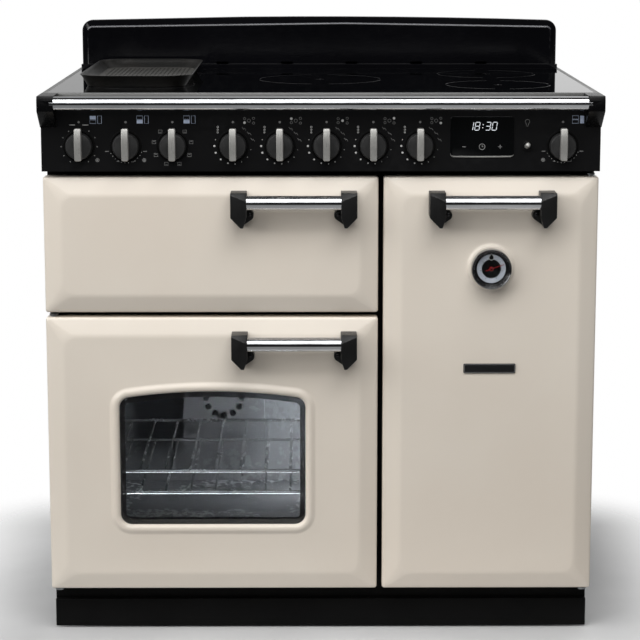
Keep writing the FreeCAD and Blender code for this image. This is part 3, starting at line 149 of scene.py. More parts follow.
# shared surface effects, each one a group with its own inputs
def cloudMask(tree, give):  # soft cloudy change of tone
    cloud = noise(tree, ownPlace(tree), give["Scale"], 4, 0.55)
    low, high = (sums(tree, how, 0.5, give["Spread"]) for how in ("SUBTRACT", "ADD"))
    return ranged(tree, cloud, low, high)


def markMask(tree, give):  # faint wiped and touched areas
    place = ownPlace(tree)
    wide = ranged(tree, noise(tree, place, give["Scale"], 2), 0.4, 0.66)
    fine = noise(tree, place, sums(tree, "MULTIPLY", give["Scale"], 14), 3, 0.6)
    return sums(tree, "MULTIPLY", wide, ranged(tree, fine, 0.3, 0.7))


def peelHeight(tree, give):  # slight waviness of a sprayed or fired coat
    return noise(tree, ownPlace(tree), give["Scale"], 1.5, 0.4)


def brushLines(tree, give):  # fine lines drawn out along one direction
    stretch = flow(tree, "CombineXYZ", {axis: give["Across" + axis] for axis in "XYZ"})
    drawn = flow(tree, "VectorMath", {0: ownPlace(tree), 1: stretch}, operation="MULTIPLY")
    return ranged(tree, noise(tree, drawn, 1, 3, 0.65), 0.25, 0.75)


def speckMask(tree, give):  # small flecks of a fired enamel or a casting
    place = ownPlace(tree)
    cells = newNode(tree, "TexVoronoi", {"Vector": place, "Scale": give["Scale"]})
    edge = sums(tree, "MULTIPLY", give["Size"], 1.6)
    dots = ranged(tree, cells.outputs["Distance"], give["Size"], edge, 1, 0)
    some = ranged(tree, noise(tree, place, 90, 2), 0.45, 0.6)
    return sums(tree, "MULTIPLY", dots, some)


def wearMask(tree, give):  # rubbed edges, on pieces that carry an edge value
    edge = newNode(tree, "Attribute", attribute_name="edge").outputs["Fac"]
    rub = ranged(tree, noise(tree, ownPlace(tree), give["Scale"], 3), 0.42, 0.7)
    return sums(tree, "MULTIPLY", sums(tree, "MULTIPLY", edge, rub), give["Amount"])


def effectGroup(name, build, *labels):
    tree, give, take = groupTree("ShaderNodeTree", name, dict.fromkeys(labels, "Float"), "Float")
    join(tree, build(tree, give), take)
    return tree


effects = {name: effectGroup(name, build, *labels) for name, build, *labels in (
    ("mottle", cloudMask, "Scale", "Spread"), ("handMarks", markMask, "Scale"),
    ("peel", peelHeight, "Scale"), ("brush", brushLines, "AcrossX", "AcrossY", "AcrossZ"),
    ("speckle", speckMask, "Scale", "Size"), ("edgeWear", wearMask, "Scale", "Amount"))}
coat = dict(bumpDepth=0.0004, wornRough=0.15)  # height of a bump in metres, roughness added by rubbing
shaderInputs = {"metal": "Metallic", "gloss": "Specular IOR Level", "coat": "Coat Weight", "alpha": "Alpha",
                "coatRough": "Coat Roughness", "clear": "Transmission Weight", "bend": "IOR",
                "glow": "Emission Color", "glowPower": "Emission Strength"}


def makeFinish(name, base, vary, cloud, rough, marks, peel=None, spread=0.2, brush=None, speckle=None,
               wear=None, **plain):
    mat = bpy.data.materials.new(name)
    mat.use_nodes = True
    tree = mat.node_tree
    tree.nodes.clear()
    plainFeeds = {shaderInputs[label]: value for label, value in plain.items()}
    shader = newNode(tree, "BsdfPrincipled", plainFeeds)
    newNode(tree, "OutputMaterial", {"Surface": shader.outputs[0]})

    def effect(group, **values):
        return flow(tree, "Group", values, node_tree=effects[group])

    colour = mixedColour(tree, effect("mottle", Scale=cloud, Spread=spread), shade(*base), shade(*vary))
    roughness = ranged(tree, effect("handMarks", Scale=marks), 0, 1, *rough)
    if speckle:
        scale, size, tone = speckle
        colour = mixedColour(tree, effect("speckle", Scale=scale, Size=size), colour, shade(*tone))
    if wear:
        scale, amount, tone = wear
        worn = effect("edgeWear", Scale=scale, Amount=amount)
        colour = mixedColour(tree, worn, colour, shade(*tone))
        roughness = sums(tree, "ADD", roughness, sums(tree, "MULTIPLY", worn, coat["wornRough"]))
    height = None
    if brush:
        (acrossX, acrossY, acrossZ), strength, uneven = brush
        height = effect("brush", AcrossX=acrossX, AcrossY=acrossY, AcrossZ=acrossZ)
        roughness = sums(tree, "ADD", roughness, sums(tree, "MULTIPLY", height, uneven))
    elif peel:
        scale, strength = peel
        height = effect("peel", Scale=scale)
    if height:
        feeds = {"Strength": strength, "Distance": coat["bumpDepth"], "Height": height}
        join(tree, flow(tree, "Bump", feeds), shader.inputs["Normal"])
    join(tree, colour, shader.inputs["Base Color"])
    join(tree, roughness, shader.inputs["Roughness"])
    return mat


alongX, alongZ = (30, 1400, 1400), (1400, 1400, 30)  # ways of brushing
finishes = {  # tone, second tone, scale of clouds, roughness, scale of marks, waviness, what else
    "cream_enamel": ((232, 223, 210), (227, 216, 202), 2.6, (0.33, 0.4), 5, (420, 0.1), dict(
        spread=0.25, wear=(150, 0.25, (240, 234, 224)), coat=0.25, coatRough=0.22)),
    "black_enamel": ((9, 9, 11), (13, 13, 15), 4, (0.08, 0.16), 5, (380, 0.05), dict(
        wear=(140, 0.4, (60, 60, 62)), coat=0.4, coatRough=0.05)),
    "case_black": ((20, 20, 21), (27, 27, 28), 9, (0.42, 0.55), 6, (1500, 0.35), dict(
        speckle=(900, 0.12, (34, 34, 35)))),
    "zinc_steel": ((158, 161, 165), (172, 175, 178), 120, (0.28, 0.42), 6, None, dict(
        spread=0.16, metal=1, brush=((300, 300, 300), 0.12, 0.08))),
    "roller_plastic": ((30, 30, 31), (42, 41, 40), 30, (0.48, 0.62), 6, (900, 0.3), {}),
    "terminal_plastic": ((44, 44, 46), (52, 52, 54), 20, (0.4, 0.52), 6, (1600, 0.3), {}),
    "panel_black": ((14, 14, 15), (18, 18, 19), 5, (0.3, 0.38), 8, (900, 0.12), dict(
        wear=(160, 0.3, (70, 70, 70)), gloss=0.28)),
    "clock_glass": ((5, 6, 7), (8, 9, 10), 8, (0.03, 0.09), 20, (120, 0.02), dict(coat=0.5, coatRough=0.02)),
    "knob_black": ((38, 38, 38), (44, 44, 44), 60, (0.32, 0.46), 30, (2200, 0.15), dict(
        wear=(300, 0.5, (96, 96, 94)))),
    "chrome": ((206, 207, 209), (188, 189, 191), 8, (0.07, 0.15), 14, None, dict(
        metal=1, brush=(alongX, 0.05, 0.06))),
    "trim_steel": ((128, 128, 127), (114, 114, 113), 6, (0.34, 0.42), 10, None, dict(
        metal=0.6, brush=(alongX, 0.01, 0.04))),
    "hob_glass": ((6, 7, 9), (9, 10, 12), 3, (0.02, 0.07), 6, (60, 0.01), dict(
        speckle=(700, 0.06, (26, 27, 30)), coat=0.3, coatRough=0.02)),
    "coil_aluminium": ((176, 177, 178), (150, 151, 152), 25, (0.35, 0.48), 6, None, dict(
        metal=1, brush=(alongX, 0.2, 0.1))),
    "cast_black": ((14, 14, 14), (20, 20, 20), 25, (0.4, 0.52), 18, (1100, 0.22), dict(
        wear=(220, 0.45, (92, 92, 90)), gloss=0.3)),
    "griddle_iron": ((25, 25, 24), (32, 30, 28), 16, (0.34, 0.5), 12, (800, 0.4), dict(
        metal=0.2, speckle=(500, 0.2, (52, 51, 49)), wear=(200, 0.4, (80, 77, 72)))),
    # a paler copy of griddle_iron for the griddle's floor and ribs: painted light from above
    "seasonedFloor": ((84, 83, 80), (70, 69, 66), 22, (0.36, 0.5), 12, (800, 0.4), dict(
        metal=0.2, speckle=(500, 0.2, (60, 58, 55)))),
    "oven_enamel": ((84, 85, 88), (92, 93, 96), 5, (0.22, 0.36), 7, (500, 0.1), dict(
        speckle=(420, 0.13, (150, 152, 156)))),
    "element_steel": ((78, 72, 66), (104, 92, 80), 24, (0.38, 0.55), 6, (900, 0.3), dict(metal=0.9)),
    "rack_chrome": ((176, 177, 179), (160, 160, 162), 18, (0.22, 0.32), 20, (900, 0.05), dict(metal=0.85)),
    "lamp_glass": ((255, 246, 226), (246, 232, 205), 40, (0.2, 0.34), 6, (700, 0.3), dict(
        glow=(1, 0.93, 0.8, 1), glowPower=2)),
    "seal_rubber": ((20, 20, 21), (30, 30, 30), 40, (0.66, 0.82), 6, (1800, 0.4), {}),
    "window_glass": ((238, 240, 241), (234, 237, 238), 5, (0, 0.03), 9, (40, 0.004), dict(
        clear=1, bend=1.45)),
    "gauge_black": ((12, 12, 13), (18, 18, 19), 60, (0.12, 0.22), 30, (1200, 0.1), dict(
        wear=(300, 0.4, (84, 84, 86)), coat=0.4)),
    "gauge_lens": ((244, 246, 247), (238, 241, 243), 30, (0, 0.03), 40, (100, 0.004), dict(
        clear=1, bend=1.45, alpha=0.25)),
    "needle_red": ((140, 16, 20), (118, 12, 16), 120, (0.3, 0.42), 60, (1500, 0.1), {}),
    "plate_black": ((16, 16, 17), (22, 22, 23), 40, (0.3, 0.42), 30, None, dict(
        brush=(alongX, 0.08, 0.1), wear=(300, 0.5, (110, 110, 108)))),
    # coats of single pieces and of the small printed and plated details
    "plinthSatin": ((12, 12, 12), (16, 16, 16), 6, (0.44, 0.56), 6, (1300, 0.15), dict(
        wear=(160, 0.3, (48, 48, 48)), gloss=0.06)),
    "capGloss": ((7, 7, 8), (10, 10, 11), 12, (0.24, 0.32), 12, (600, 0.03), dict(
        wear=(200, 0.2, (32, 32, 32)), gloss=0.1)),
    "splashGloss": ((6, 6, 8), (9, 9, 12), 4, (0.1, 0.16), 5, (380, 0.03), dict(
        wear=(140, 0.3, (48, 48, 50)), gloss=0.25)),
    # a paler grey for the splashback's top crease: a painted highlight
    "creaseGlint": ((96, 96, 100), (84, 84, 88), 14, (0.16, 0.24), 6, (600, 0.04), {}),
    # half-clear black for the window border: a printed frit, and painted shade along the glass edge
    "fritBlack": ((20, 20, 21), (26, 26, 27), 80, (0.3, 0.42), 6, (2000, 0.1), dict(alpha=0.62)),
    "zonePrint": ((22, 22, 24), (18, 18, 20), 90, (0.35, 0.45), 6, (2000, 0.1), {}),
    "printWhite": ((205, 205, 203), (190, 190, 188), 200, (0.45, 0.55), 6, (3000, 0.1), {}),
    "printGrey": ((138, 138, 137), (122, 122, 121), 200, (0.45, 0.55), 6, (3000, 0.1), {}),
    "printBlue": ((196, 208, 230), (176, 190, 216), 120, (0.45, 0.55), 6, (3000, 0.1), {}),
    "digitLight": ((240, 244, 250), (226, 232, 240), 120, (0.4, 0.5), 6, (3000, 0.1), dict(
        glow=(0.92, 0.96, 1, 1), glowPower=0.55)),
    "gripSilver": ((184, 183, 179), (170, 169, 165), 60, (0.26, 0.36), 30, None, dict(
        metal=0.55, brush=(alongZ, 0.1, 0.08), wear=(300, 0.3, (226, 226, 222)))),
    "bezelSteel": ((150, 151, 153), (136, 137, 139), 60, (0.05, 0.1), 40, None, dict(
        metal=1, brush=((600, 600, 600), 0.03, 0.04))),
    "darkScrew": ((58, 58, 60), (76, 76, 78), 120, (0.22, 0.36), 60, (2400, 0.1), dict(metal=1)),
    "dialSilver": ((214, 219, 228), (200, 206, 216), 80, (0.3, 0.4), 40, None, dict(
        metal=0.1, brush=((900, 900, 900), 0.1, 0.08))),
}
finish = {name: makeFinish(name, *row[:-1], **row[-1]) for name, row in finishes.items()}
slotOf = {row["node"]: row["material_slot"] for row in frame["record"]["subparts"]}
ownFinish = {"plinth": "plinthSatin", "front_frame": "plinthSatin", "rail_end_caps": "capGloss",
             "light_toggle": "gripSilver", "splashback": "splashGloss"}  # same slot, another coat


def coatOf(node):
    return ownFinish.get(node, slotOf[node])


for node in slotOf:  # every CAD node takes its finish
    for held in nodes[node].material_slots:
        held.material = finish[coatOf(node)]
print("stage: finishes,", len(finish))

# square metres of a wide face, metres of a weld, degrees of a flat joint, how squarely a sheet faces front
limits = dict(wideFace=0.004, weld=2e-6, flatTurn=0.8, squarely=0.9)


def bodyOf(node):
    return nodes[node]["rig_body"]


def boxOf(node):  # low and high corner in mm
    return [corner * 1000 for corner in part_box(node)]


def placed(name, data):
    made = bpy.data.objects.new(name, data)
    scene.collection.objects.link(made)
    return made


def meshOf(name, bm):
    mesh = bpy.data.meshes.new(name)
    bm.to_mesh(mesh)
    bm.free()
    return mesh


def settle(name, mesh, body, smooth=38, stands=()):
    piece = placed(name, mesh)
    for face in mesh.polygons:
        face.use_smooth = face.area < limits["wideFace"]  # wide flat faces keep their own normal
    mesh.set_sharp_from_angle(angle=radians(smooth))
    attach(piece, body)
    if stands:
        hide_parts(*stands)
    return piece


def addPiece(name, bm, body, slot, coats=None, smooth=38, stands=()):
    mesh = meshOf(name, bm)
    for kind in coats or [slot]:
        mesh.materials.append(finish[kind])
    return settle(name, mesh, body, smooth, stands)


def standIn(node, ending, bm, coats=None, smooth=38):  # shown in the place of a CAD node
    return addPiece(node + ending, bm, bodyOf(node), slotOf[node], coats or [coatOf(node)], smooth, (node,))


def outward(bm):
    bmesh.ops.recalc_face_normals(bm, faces=bm.faces[:])
    return bm


def welded(node):
    bm = bmesh.new()
    bm.from_mesh(nodes[node].data)
    bmesh.ops.remove_doubles(bm, verts=bm.verts, dist=limits["weld"])
    return bm


def mergedCopy(node):
    bm = welded(node)
    flat = radians(limits["flatTurn"])
    bmesh.ops.dissolve_limit(bm, angle_limit=flat, verts=bm.verts[:], edges=bm.edges[:])
    return bm


def roundEdges(bm, width, above, below=181, segments=3, clamp=True):  # mm, and the turn in degrees
    mark = bm.faces.layers.float.get("edge") or bm.faces.layers.float.new("edge")
    low, high = radians(above), radians(below)
    chosen = [e for e in bm.edges if len(e.link_faces) == 2 and low < e.calc_face_angle(0) < high]
    made = bmesh.ops.bevel(bm, geom=chosen, offset=width * mm, offset_type="OFFSET", segments=segments,
                           profile=0.5, affect="EDGES", clamp_overlap=clamp, loop_slide=True)
    for face in made["faces"]:
        face[mark] = 1
    return bm


def looseBoxes(node):  # corners of each separate solid in a node
    bm = welded(node)
    seen, boxes = set(), []
    for start in bm.verts:
        if start in seen:
            continue
        seen.add(start)
        stack, spots = [start], []
        while stack:
            v = stack.pop()
            spots.append(v.co.copy())
            fresh = [o for o in (e.other_vert(v) for e in v.link_edges) if o not in seen]
            seen.update(fresh)
            stack += fresh
        boxes.append(tuple(Vector([pick(p[i] for p in spots) for i in range(3)]) for pick in (min, max)))
    bm.free()
    return boxes


# pressed and cast pieces: the CAD shape with its edges rolled
rolled = {  # width in mm, turned by more than so many degrees, segments
    "plinth": (1.2, 40, 3), "control_panel": (1, 50, 3), "rail_end_caps": (1.6, 40, 3),
    "hob_trim": (0.5, 50, 2), "clock_module": (0.6, 50, 3), "door_plate": (0.5, 40, 3),
    "gauge_case": (0.8, 40, 3),
}
# upward and frontOf pick the crease faces that carry the painted highlight
splash = dict(crease=(2, 30, 60, 4), edges=(1.2, 60), upward=0.2, frontOf=0.303)  # frontOf in metres


def keepFlat(piece):  # broad sheet faces stay dead flat round their holes
    for face in piece.data.polygons:
        if abs(face.normal.y) > limits["squarely"]:
            face.use_smooth = False


for node, (width, above, segments) in rolled.items():
    piece = standIn(node, ".rolled", roundEdges(mergedCopy(node), width, above, segments=segments))
    if node == "control_panel":
        keepFlat(piece)
bm = roundEdges(mergedCopy("splashback"), *splash["crease"])
edgeMark = bm.faces.layers.float["edge"]
for face in bm.faces:  # the upward faces of the front crease take a paler coat, a painted highlight
    turned = face[edgeMark] > 0.5 and face.normal.z > splash["upward"]
    face.material_index = int(turned and face.calc_center_median().y < splash["frontOf"])
roundEdges(bm, *splash["edges"])
keepFlat(standIn("splashback", ".rolled", bm, ["splashGloss", "creaseGlint"]))
print("stage: rolled pieces,", len(rolled) + 1)


# flat outlines are lists of (x, z) in mm, going anticlockwise seen from the front
def filleted(corners, steps):
    points = []
    for i, (x, z, radius) in enumerate(corners):
        if not radius:
            points.append((x, z))
            continue
        here, before = Vector((x, z)), Vector(corners[i - 1][:2])
        after = Vector(corners[(i + 1) % len(corners)][:2])
        a, b = (before - here).normalized(), (after - here).normalized()
        half = a.angle(b) / 2
        middle = here + (a + b).normalized() * (radius / sin(half))
        start = here + a * (radius / tan(half)) - middle
        turn = pi - 2 * half
        if a.cross(b) > 0:
            turn = -turn
        for k in range(steps + 1):
            spin = turn * k / steps
            points.append((middle.x + start.x * cos(spin) - start.y * sin(spin),
                           middle.y + start.x * sin(spin) + start.y * cos(spin)))
    return points


def grownOutline(points, reach):
    made, n = [], len(points)
    for i in range(n):
        along = Vector(points[(i + 1) % n]) - Vector(points[i - 1])
        out = Vector((along.y, -along.x)).normalized()
        made.append((points[i][0] + out.x * reach, points[i][1] + out.y * reach))
    return made


def roundBox(x0, x1, z0, z1, inset, radius, steps=10):
    return filleted([(x0 + inset, z0 + inset, radius), (x1 - inset, z0 + inset, radius),
                     (x1 - inset, z1 - inset, radius), (x0 + inset, z1 - inset, radius)], steps)


def circleAt(x, z, radius, steps):
    turns = [2 * pi * k / steps for k in range(steps)]
    return [(x + radius * cos(t), z + radius * sin(t)) for t in turns]


def ringOf(bm, points, y):
    return [bm.verts.new((x * mm, y * mm, z * mm)) for x, z in points]


def skinBetween(bm, rings):
    for first, second in zip(rings, rings[1:]):
        n = len(first)
        for i in range(n):
            j = (i + 1) % n
            bm.faces.new((first[i], first[j], second[j], second[i]))


def laidFlat(bm, z=0):  # what was drawn facing front is turned face up
    for v in bm.verts:
        v.co = (v.co.x, v.co.z, z - v.co.y)
    return bm


def capEnds(bm, rings):
    bm.faces.new(rings[0])
    bm.faces.new(rings[-1])


def fillRings(bm, *rings):
    pairs = [(ring[i - 1], ring[i]) for ring in rings for i in range(len(ring))]
    edges = [bm.edges.get(pair) or bm.edges.new(pair) for pair in pairs]
    bmesh.ops.triangle_fill(bm, use_beauty=True, use_dissolve=False, edges=edges)


def lathe(bm, section, x, z, steps=72):  # a closed section of (radius, y), turned about an axis along Y
    rings = [ringOf(bm, circleAt(x, z, radius, steps), y) for radius, y in section]
    skinBetween(bm, rings + rings[:1])


# door skins: rolled rim, long bevel, raised field
door = dict(
    back=-250, bevelY=-274, bevelDepth=10, bevelWidth=29, bevelAt=(5, 14), faceY=-284, soft=4.5, lap=3,
    rimRadius=4, fieldRadius=20,
    rim=[(0, -250), (0, -262), (0, -270.6), (0.25, -272.2), (0.9, -273.5), (1.9, -274.4), (3.2, -275.05)])
window = dict(
    side=118.5, base=113, rise=12, headZ=406, radius=18, archCuts=8,
    bead=[(18, 0), (16.5, 0.15), (15, 0.6), (13.2, 1.5), (11.4, 2.5), (9.6, 3.2), (7.8, 3.5), (6, 3.4),
        (4.2, 2.9), (2.6, 2), (1.3, 0.7), (0.4, -0.9), (0, -2.9)])
boss = dict(
    z=624,
    rings=[(43, 0), (40, 0.2), (38.2, 0.9), (37, 2.2), (36.2, 3.3), (35.4, 3.85), (34.4, 4), (31, 4)])


def windowOutline():
    d, radius, cuts = window, window["radius"], window["archCuts"]
    low, high = boxOf("left_door_panel")
    left, right, base, head = low.x + d["side"], high.x - d["side"], low.z + d["base"], d["headZ"]
    half = (right - left) / 2
    across = [k / cuts for k in range(1 - cuts, cuts)]
    arch = [(left + half * (1 - t), head + d["rise"] * (1 - t * t), 0) for t in across]
    corners = [(left, base, radius), (right, base, radius), (right, head, radius)]
    return filleted(corners + arch + [(left, head, radius)], 8)


def doorProfile():  # (inset, y) from the back of the rim to the field
    d = door
    slope = d["bevelDepth"] / d["bevelWidth"]
    start, end = d["bevelWidth"] - d["soft"], d["bevelWidth"] + d["soft"]
    profile = d["rim"] + [(t, d["bevelY"] - slope * t) for t in d["bevelAt"] + (start,)]
    for t in (0.2, 0.4, 0.6, 0.8, 1):  # the crease, as a small curve
        spot = start * (1 - t) ** 2 + 2 * d["bevelWidth"] * t * (1 - t) + end * t * t
        depth = (d["bevelY"] - slope * start) * (1 - t) ** 2 + d["faceY"] * (1 - (1 - t) ** 2)
        profile.append((spot, depth))
    return profile + [(end + d["lap"], d["faceY"])]


def doorSkin(node, hole):
    d = door
    low, high = boxOf(node)
    bm = bmesh.new()
    rings, inner = [], []
    for inset, y in doorProfile():
        grow = min(inset / d["bevelWidth"], 1)
        radius = d["rimRadius"] + (d["fieldRadius"] - d["rimRadius"]) * grow - max(inset - d["bevelWidth"], 0)
        rings.append(ringOf(bm, roundBox(low.x, high.x, low.z, high.z, inset, radius), y))
    skinBetween(bm, rings)
    if hole == "window":
        outline = windowOutline()
        for reach, proud in window["bead"]:
            inner.append(ringOf(bm, grownOutline(outline, reach), d["faceY"] - proud))
        inner.append(ringOf(bm, outline, d["back"]))
    elif hole == "boss":
        for radius, proud in boss["rings"]:
            circle = circleAt((low.x + high.x) / 2, boss["z"], radius, 64)
            inner.append(ringOf(bm, circle, d["faceY"] - proud))
    skinBetween(bm, inner)
    fillRings(bm, rings[-1], *inner[:1])
    if hole == "boss":
        bm.faces.new(inner[-1])
    fillRings(bm, rings[0], *(inner[-1:] if hole == "window" else []))
    standIn(node, ".pressed", outward(bm), smooth=30)


for node, hole in (("grill_door_panel", ""), ("left_door_panel", "window"), ("right_door_panel", "boss")):
    doorSkin(node, hole)
print("stage: door skins")

# knobs: a bowed silver grip across a black disc, in metres, and a dark satin collar ring round each, in mm,
# which also stands in for the shade round the knob
knob = dict(
    axisZ=0.822, discFront=-0.2971, gripRise=0.004, gripMid=0.826, gripHalf=0.026, bow=0.0032, cuts=12,
    cutSnap=1e-6, edges=(0.9, 40))
collar = [(22.2, -284), (22.3, -284.8), (22.7, -285.1), (25.2, -285.1), (25.7, -284.8), (25.8, -284)]
knobs = [node for node in nodes if node.startswith("knob_")]


def knobSpot(node):  # middle of a knob on the panel, in mm
    low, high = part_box(node)
    return (low.x + high.x) / 2 / mm, knob["axisZ"] / mm


def bowedKnob(node):
    d = knob
    bm = roundEdges(mergedCopy(node), *d["edges"])
    for k in range(1, d["cuts"]):  # cut across first, so that it can bend
        level = d["gripMid"] + d["gripHalf"] * (2 * k / d["cuts"] - 1)
        held = [f for f in bm.faces if f.calc_center_median().y < d["discFront"]]
        edges = dict.fromkeys(e for f in held for e in f.edges)
        corners = dict.fromkeys(v for f in held for v in f.verts)
        bmesh.ops.bisect_plane(bm, geom=[*held, *edges, *corners], plane_co=(0, 0, level),
                               plane_no=(0, 0, 1), dist=d["cutSnap"])
    for v in bm.verts:
        if v.co.y < d["discFront"] - d["gripRise"]:
            v.co.y += d["bow"] * ((v.co.z - d["gripMid"]) / d["gripHalf"]) ** 2
    for face in bm.faces:
        face.material_index = int(face.calc_center_median().y < d["discFront"])
    standIn(node, ".rolled", bm, ["knob_black", "gripSilver"])


# dull black collar rings round the knobs: a bezel, and painted shade round each knob
shadeCollars = bmesh.new()
for node in knobs:
    bowedKnob(node)
    lathe(shadeCollars, collar, *knobSpot(node), 48)
addPiece("knobCollars", outward(shadeCollars), "cabinet", "panel_black", ["plinthSatin"])
print("stage: knobs,", len(knobs))

# handle brackets: a shield with a sloping brow, and a lobe that takes the screw
bracket = dict(
    front=-324, browLip=2, browY=-316, back=-284, edges=(0.9, 24), faceTop=[(0, 2), (26, 13)],
    rearTop=[(0, 0), (26, 0)], shield=[(26, 39), (20.5, 56), (16, 56), (0, 39.5)], lobe=(28, 38, 9),
    lobeTop=(18, 29), lobeFoot=[(22, 53), (18, 52)], lobeFront=-302, lobeTurns=range(-90, 46, 15))


def castBracket(bm, edgeX, side, top):
    d = bracket

    def spots(points, y):
        return [bm.verts.new(((edgeX + side * u) * mm, y * mm, (top - v) * mm)) for u, v in points]

    face = spots(d["faceTop"] + d["shield"], d["front"])
    rear = spots(d["rearTop"] + d["shield"], d["back"])
    brow = spots(d["rearTop"][:1], d["front"] + d["browLip"]) + spots(d["rearTop"][1:], d["browY"])
    bm.faces.new(face)
    bm.faces.new(rear)
    bm.faces.new((face[0], face[1], brow[1], brow[0]))
    bm.faces.new((brow[0], brow[1], rear[1], rear[0]))
    bm.faces.new((face[1], face[2], rear[2], rear[1], brow[1]))
    bm.faces.new((face[5], face[0], brow[0], rear[0], rear[5]))
    for i in (2, 3, 4):
        bm.faces.new((face[i], face[i + 1], rear[i + 1], rear[i]))
    u, v, radius = d["lobe"]
    turns = [radians(angle) for angle in d["lobeTurns"]]
    rim = [(u + radius * cos(t), v + radius * sin(t)) for t in turns]
    lobe = [spots([d["lobeTop"]] + rim + d["lobeFoot"], y) for y in (d["lobeFront"], d["back"])]
    skinBetween(bm, lobe)
    capEnds(bm, lobe)


for label in ("grill", "left", "right"):
    node = label + "_handle_brackets"
    low, high = boxOf(node)
    bm = bmesh.new()
    castBracket(bm, low.x, 1, high.z)
    castBracket(bm, high.x, -1, high.z)
    standIn(node, ".cast", roundEdges(outward(bm), *bracket["edges"]))
print("stage: handle brackets")

# thin printed marks: closed plates and bands standing a hair off the face behind them
panelFace = -284  # front of the control panel


def plate(bm, points, y=panelFace, thick=0.15):
    front, back = ringOf(bm, points, y - thick), ringOf(bm, points, y)
    capEnds(bm, [front, back])
    skinBetween(bm, [back, front])


def band(bm, points, width, y=panelFace, thick=0.15, closed=False):
    n, rings = len(points), []
    for i, (x, z) in enumerate(points):
        before = points[i - 1] if closed or i else points[i]
        after = points[(i + 1) % n] if closed or i < n - 1 else points[i]
        side = Vector((before[1] - after[1], after[0] - before[0])).normalized() * (width / 2)
        rings.append([bm.verts.new(((x + s * side.x) * mm, (y - t) * mm, (z + s * side.y) * mm))
                      for s, t in ((1, 0), (1, thick), (-1, thick), (-1, 0))])
    skinBetween(bm, rings + rings[:1] if closed else rings)
    if not closed:
        capEnds(bm, rings)


def spotAt(x, z, radius, angle):  # degrees clockwise from the top
    t = radians(angle)
    return (x + radius * sin(t), z + radius * cos(t))


def arc(x, z, radius, start, end, steps):
    return [spotAt(x, z, radius, start + (end - start) * k / steps) for k in range(steps + 1)]


def loop(x, z, radius, steps=20):
    return arc(x, z, radius, 0, 360 - 360 / steps, steps - 1)


def frameOf(x0, z0, x1, z1):
    return [(x0, z0), (x1, z0), (x1, z1), (x0, z1)]


def printPiece(name, bm, kind, body="cabinet", slot="trim_steel"):
    addPiece(name, outward(bm), body, slot, [kind], smooth=20)


# a small solid shape set on many points, turned to face each point's own way
def coated(tree, give, geometry):
    solid = flow(tree, "RealizeInstances", {"Geometry": geometry})
    return flow(tree, "SetMaterial", {"Geometry": solid, "Material": give["Finish"]})


def settingTree():
    inputs = {"Geometry": "Geometry", "Shape": "Object", "Finish": "Material"}
    tree, give, take = groupTree("GeometryNodeTree", "settings", inputs, "Geometry")

    def carried(label, kind):
        return newNode(tree, "InputNamedAttribute", {"Name": label}, data_type=kind).outputs["Attribute"]

    shape = newNode(tree, "ObjectInfo", {"Object": give["Shape"]}).outputs["Geometry"]
    facing = {"Vector": carried("facing", "FLOAT_VECTOR")}
    turn = flow(tree, "FunctionNodeAlignRotationToVector", facing, axis="Z")
    spread = flow(tree, "InstanceOnPoints", {
        "Points": give["Geometry"], "Instance": shape, "Rotation": turn, "Scale": carried("size", "FLOAT")})
    join(tree, coated(tree, give, spread), take)
    return tree


def plainMesh(name, mesh, passes):  # runs the node trees one after another and keeps the plain result
    base = placed(name, mesh)
    for tree, values in passes:
        mod = base.modifiers.new(tree.name, "NODES")
        mod.node_group = tree
        for item in tree.interface.items_tree:
            if item.in_out == "INPUT" and item.name in values:
                mod[item.identifier] = values[item.name]
    base.update_tag()
    bpy.context.view_layer.update()
    made = bpy.data.meshes.new_from_object(base.evaluated_get(bpy.context.evaluated_depsgraph_get()))
    bpy.data.objects.remove(base)
    made.name = name
    while made.materials and made.materials[0] is None:  # the bare slot of the repeated shape
        made.materials.pop(index=0)
    return made


setOnPoints = settingTree()


def setPieces(name, shape, spots, body, kind):  # spots are (place in mm, facing, size in mm)
    mesh = bpy.data.meshes.new(name)
    mesh.from_pydata([Vector(place) * mm for place, way, size in spots], [], [])
    mesh.attributes.new("facing", "FLOAT_VECTOR", "POINT")
    mesh.attributes.new("size", "FLOAT", "POINT")
    for i, (place, way, size) in enumerate(spots):
        mesh.attributes["facing"].data[i].vector = way
        mesh.attributes["size"].data[i].value = size * mm
    made = plainMesh(name, mesh, [(setOnPoints, {"Shape": shape, "Finish": finish[kind]})])
    settle(name, made, body, 35)


def shapeObject(name, bm, rings):  # a closed shape to be repeated, one unit in radius or in mm
    skinBetween(bm, rings)
    capEnds(bm, rings)
    return placed(name, meshOf(name, outward(bm)))


def flatRing(bm, radii, z):
    spots = [circleAt(0, 0, radius, len(radii))[k] for k, radius in enumerate(radii)]
    return [bm.verts.new((x, y, z)) for x, y in spots]


dotSizes = {"sides": 14, "rings": [(1, 0), (0.94, 0.13)]}
fixings = dict(
    sides=24, head=[(1, 0), (1, 0.22), (0.94, 0.36), (0.78, 0.48), (0.56, 0.54)], recess=(0.55, 0.2),
    arm=0.46, notch=0.15, back=3.6, side=3.2, door=3.2, bracket=3, box=3, backInset=(14, 9), backRow=9,
    backColumn=7, boxInset=8, sideInset=14, sideRows=(-190, -20, 150, 300), doorInset=16,
    bracketInset=(30.5, -302, 36.5))
bm = bmesh.new()
rings = [flatRing(bm, [radius] * dotSizes["sides"], z) for radius, z in dotSizes["rings"]]
dot = shapeObject("dotShape", bm, rings)
bm = bmesh.new()
rings = [flatRing(bm, [radius] * fixings["sides"], z) for radius, z in fixings["head"]]
cross = [fixings["arm"] if k % 6 in (0, 1, 5) else fixings["notch"] for k in range(fixings["sides"])]
rings += [flatRing(bm, cross, z) for z in fixings["recess"]]
screw = shapeObject("screwShape", bm, rings)
front, back = (0, -1, 0), (0, 1, 0)
leftward, rightward, upward = (-1, 0, 0), (1, 0, 0), (0, 0, 1)

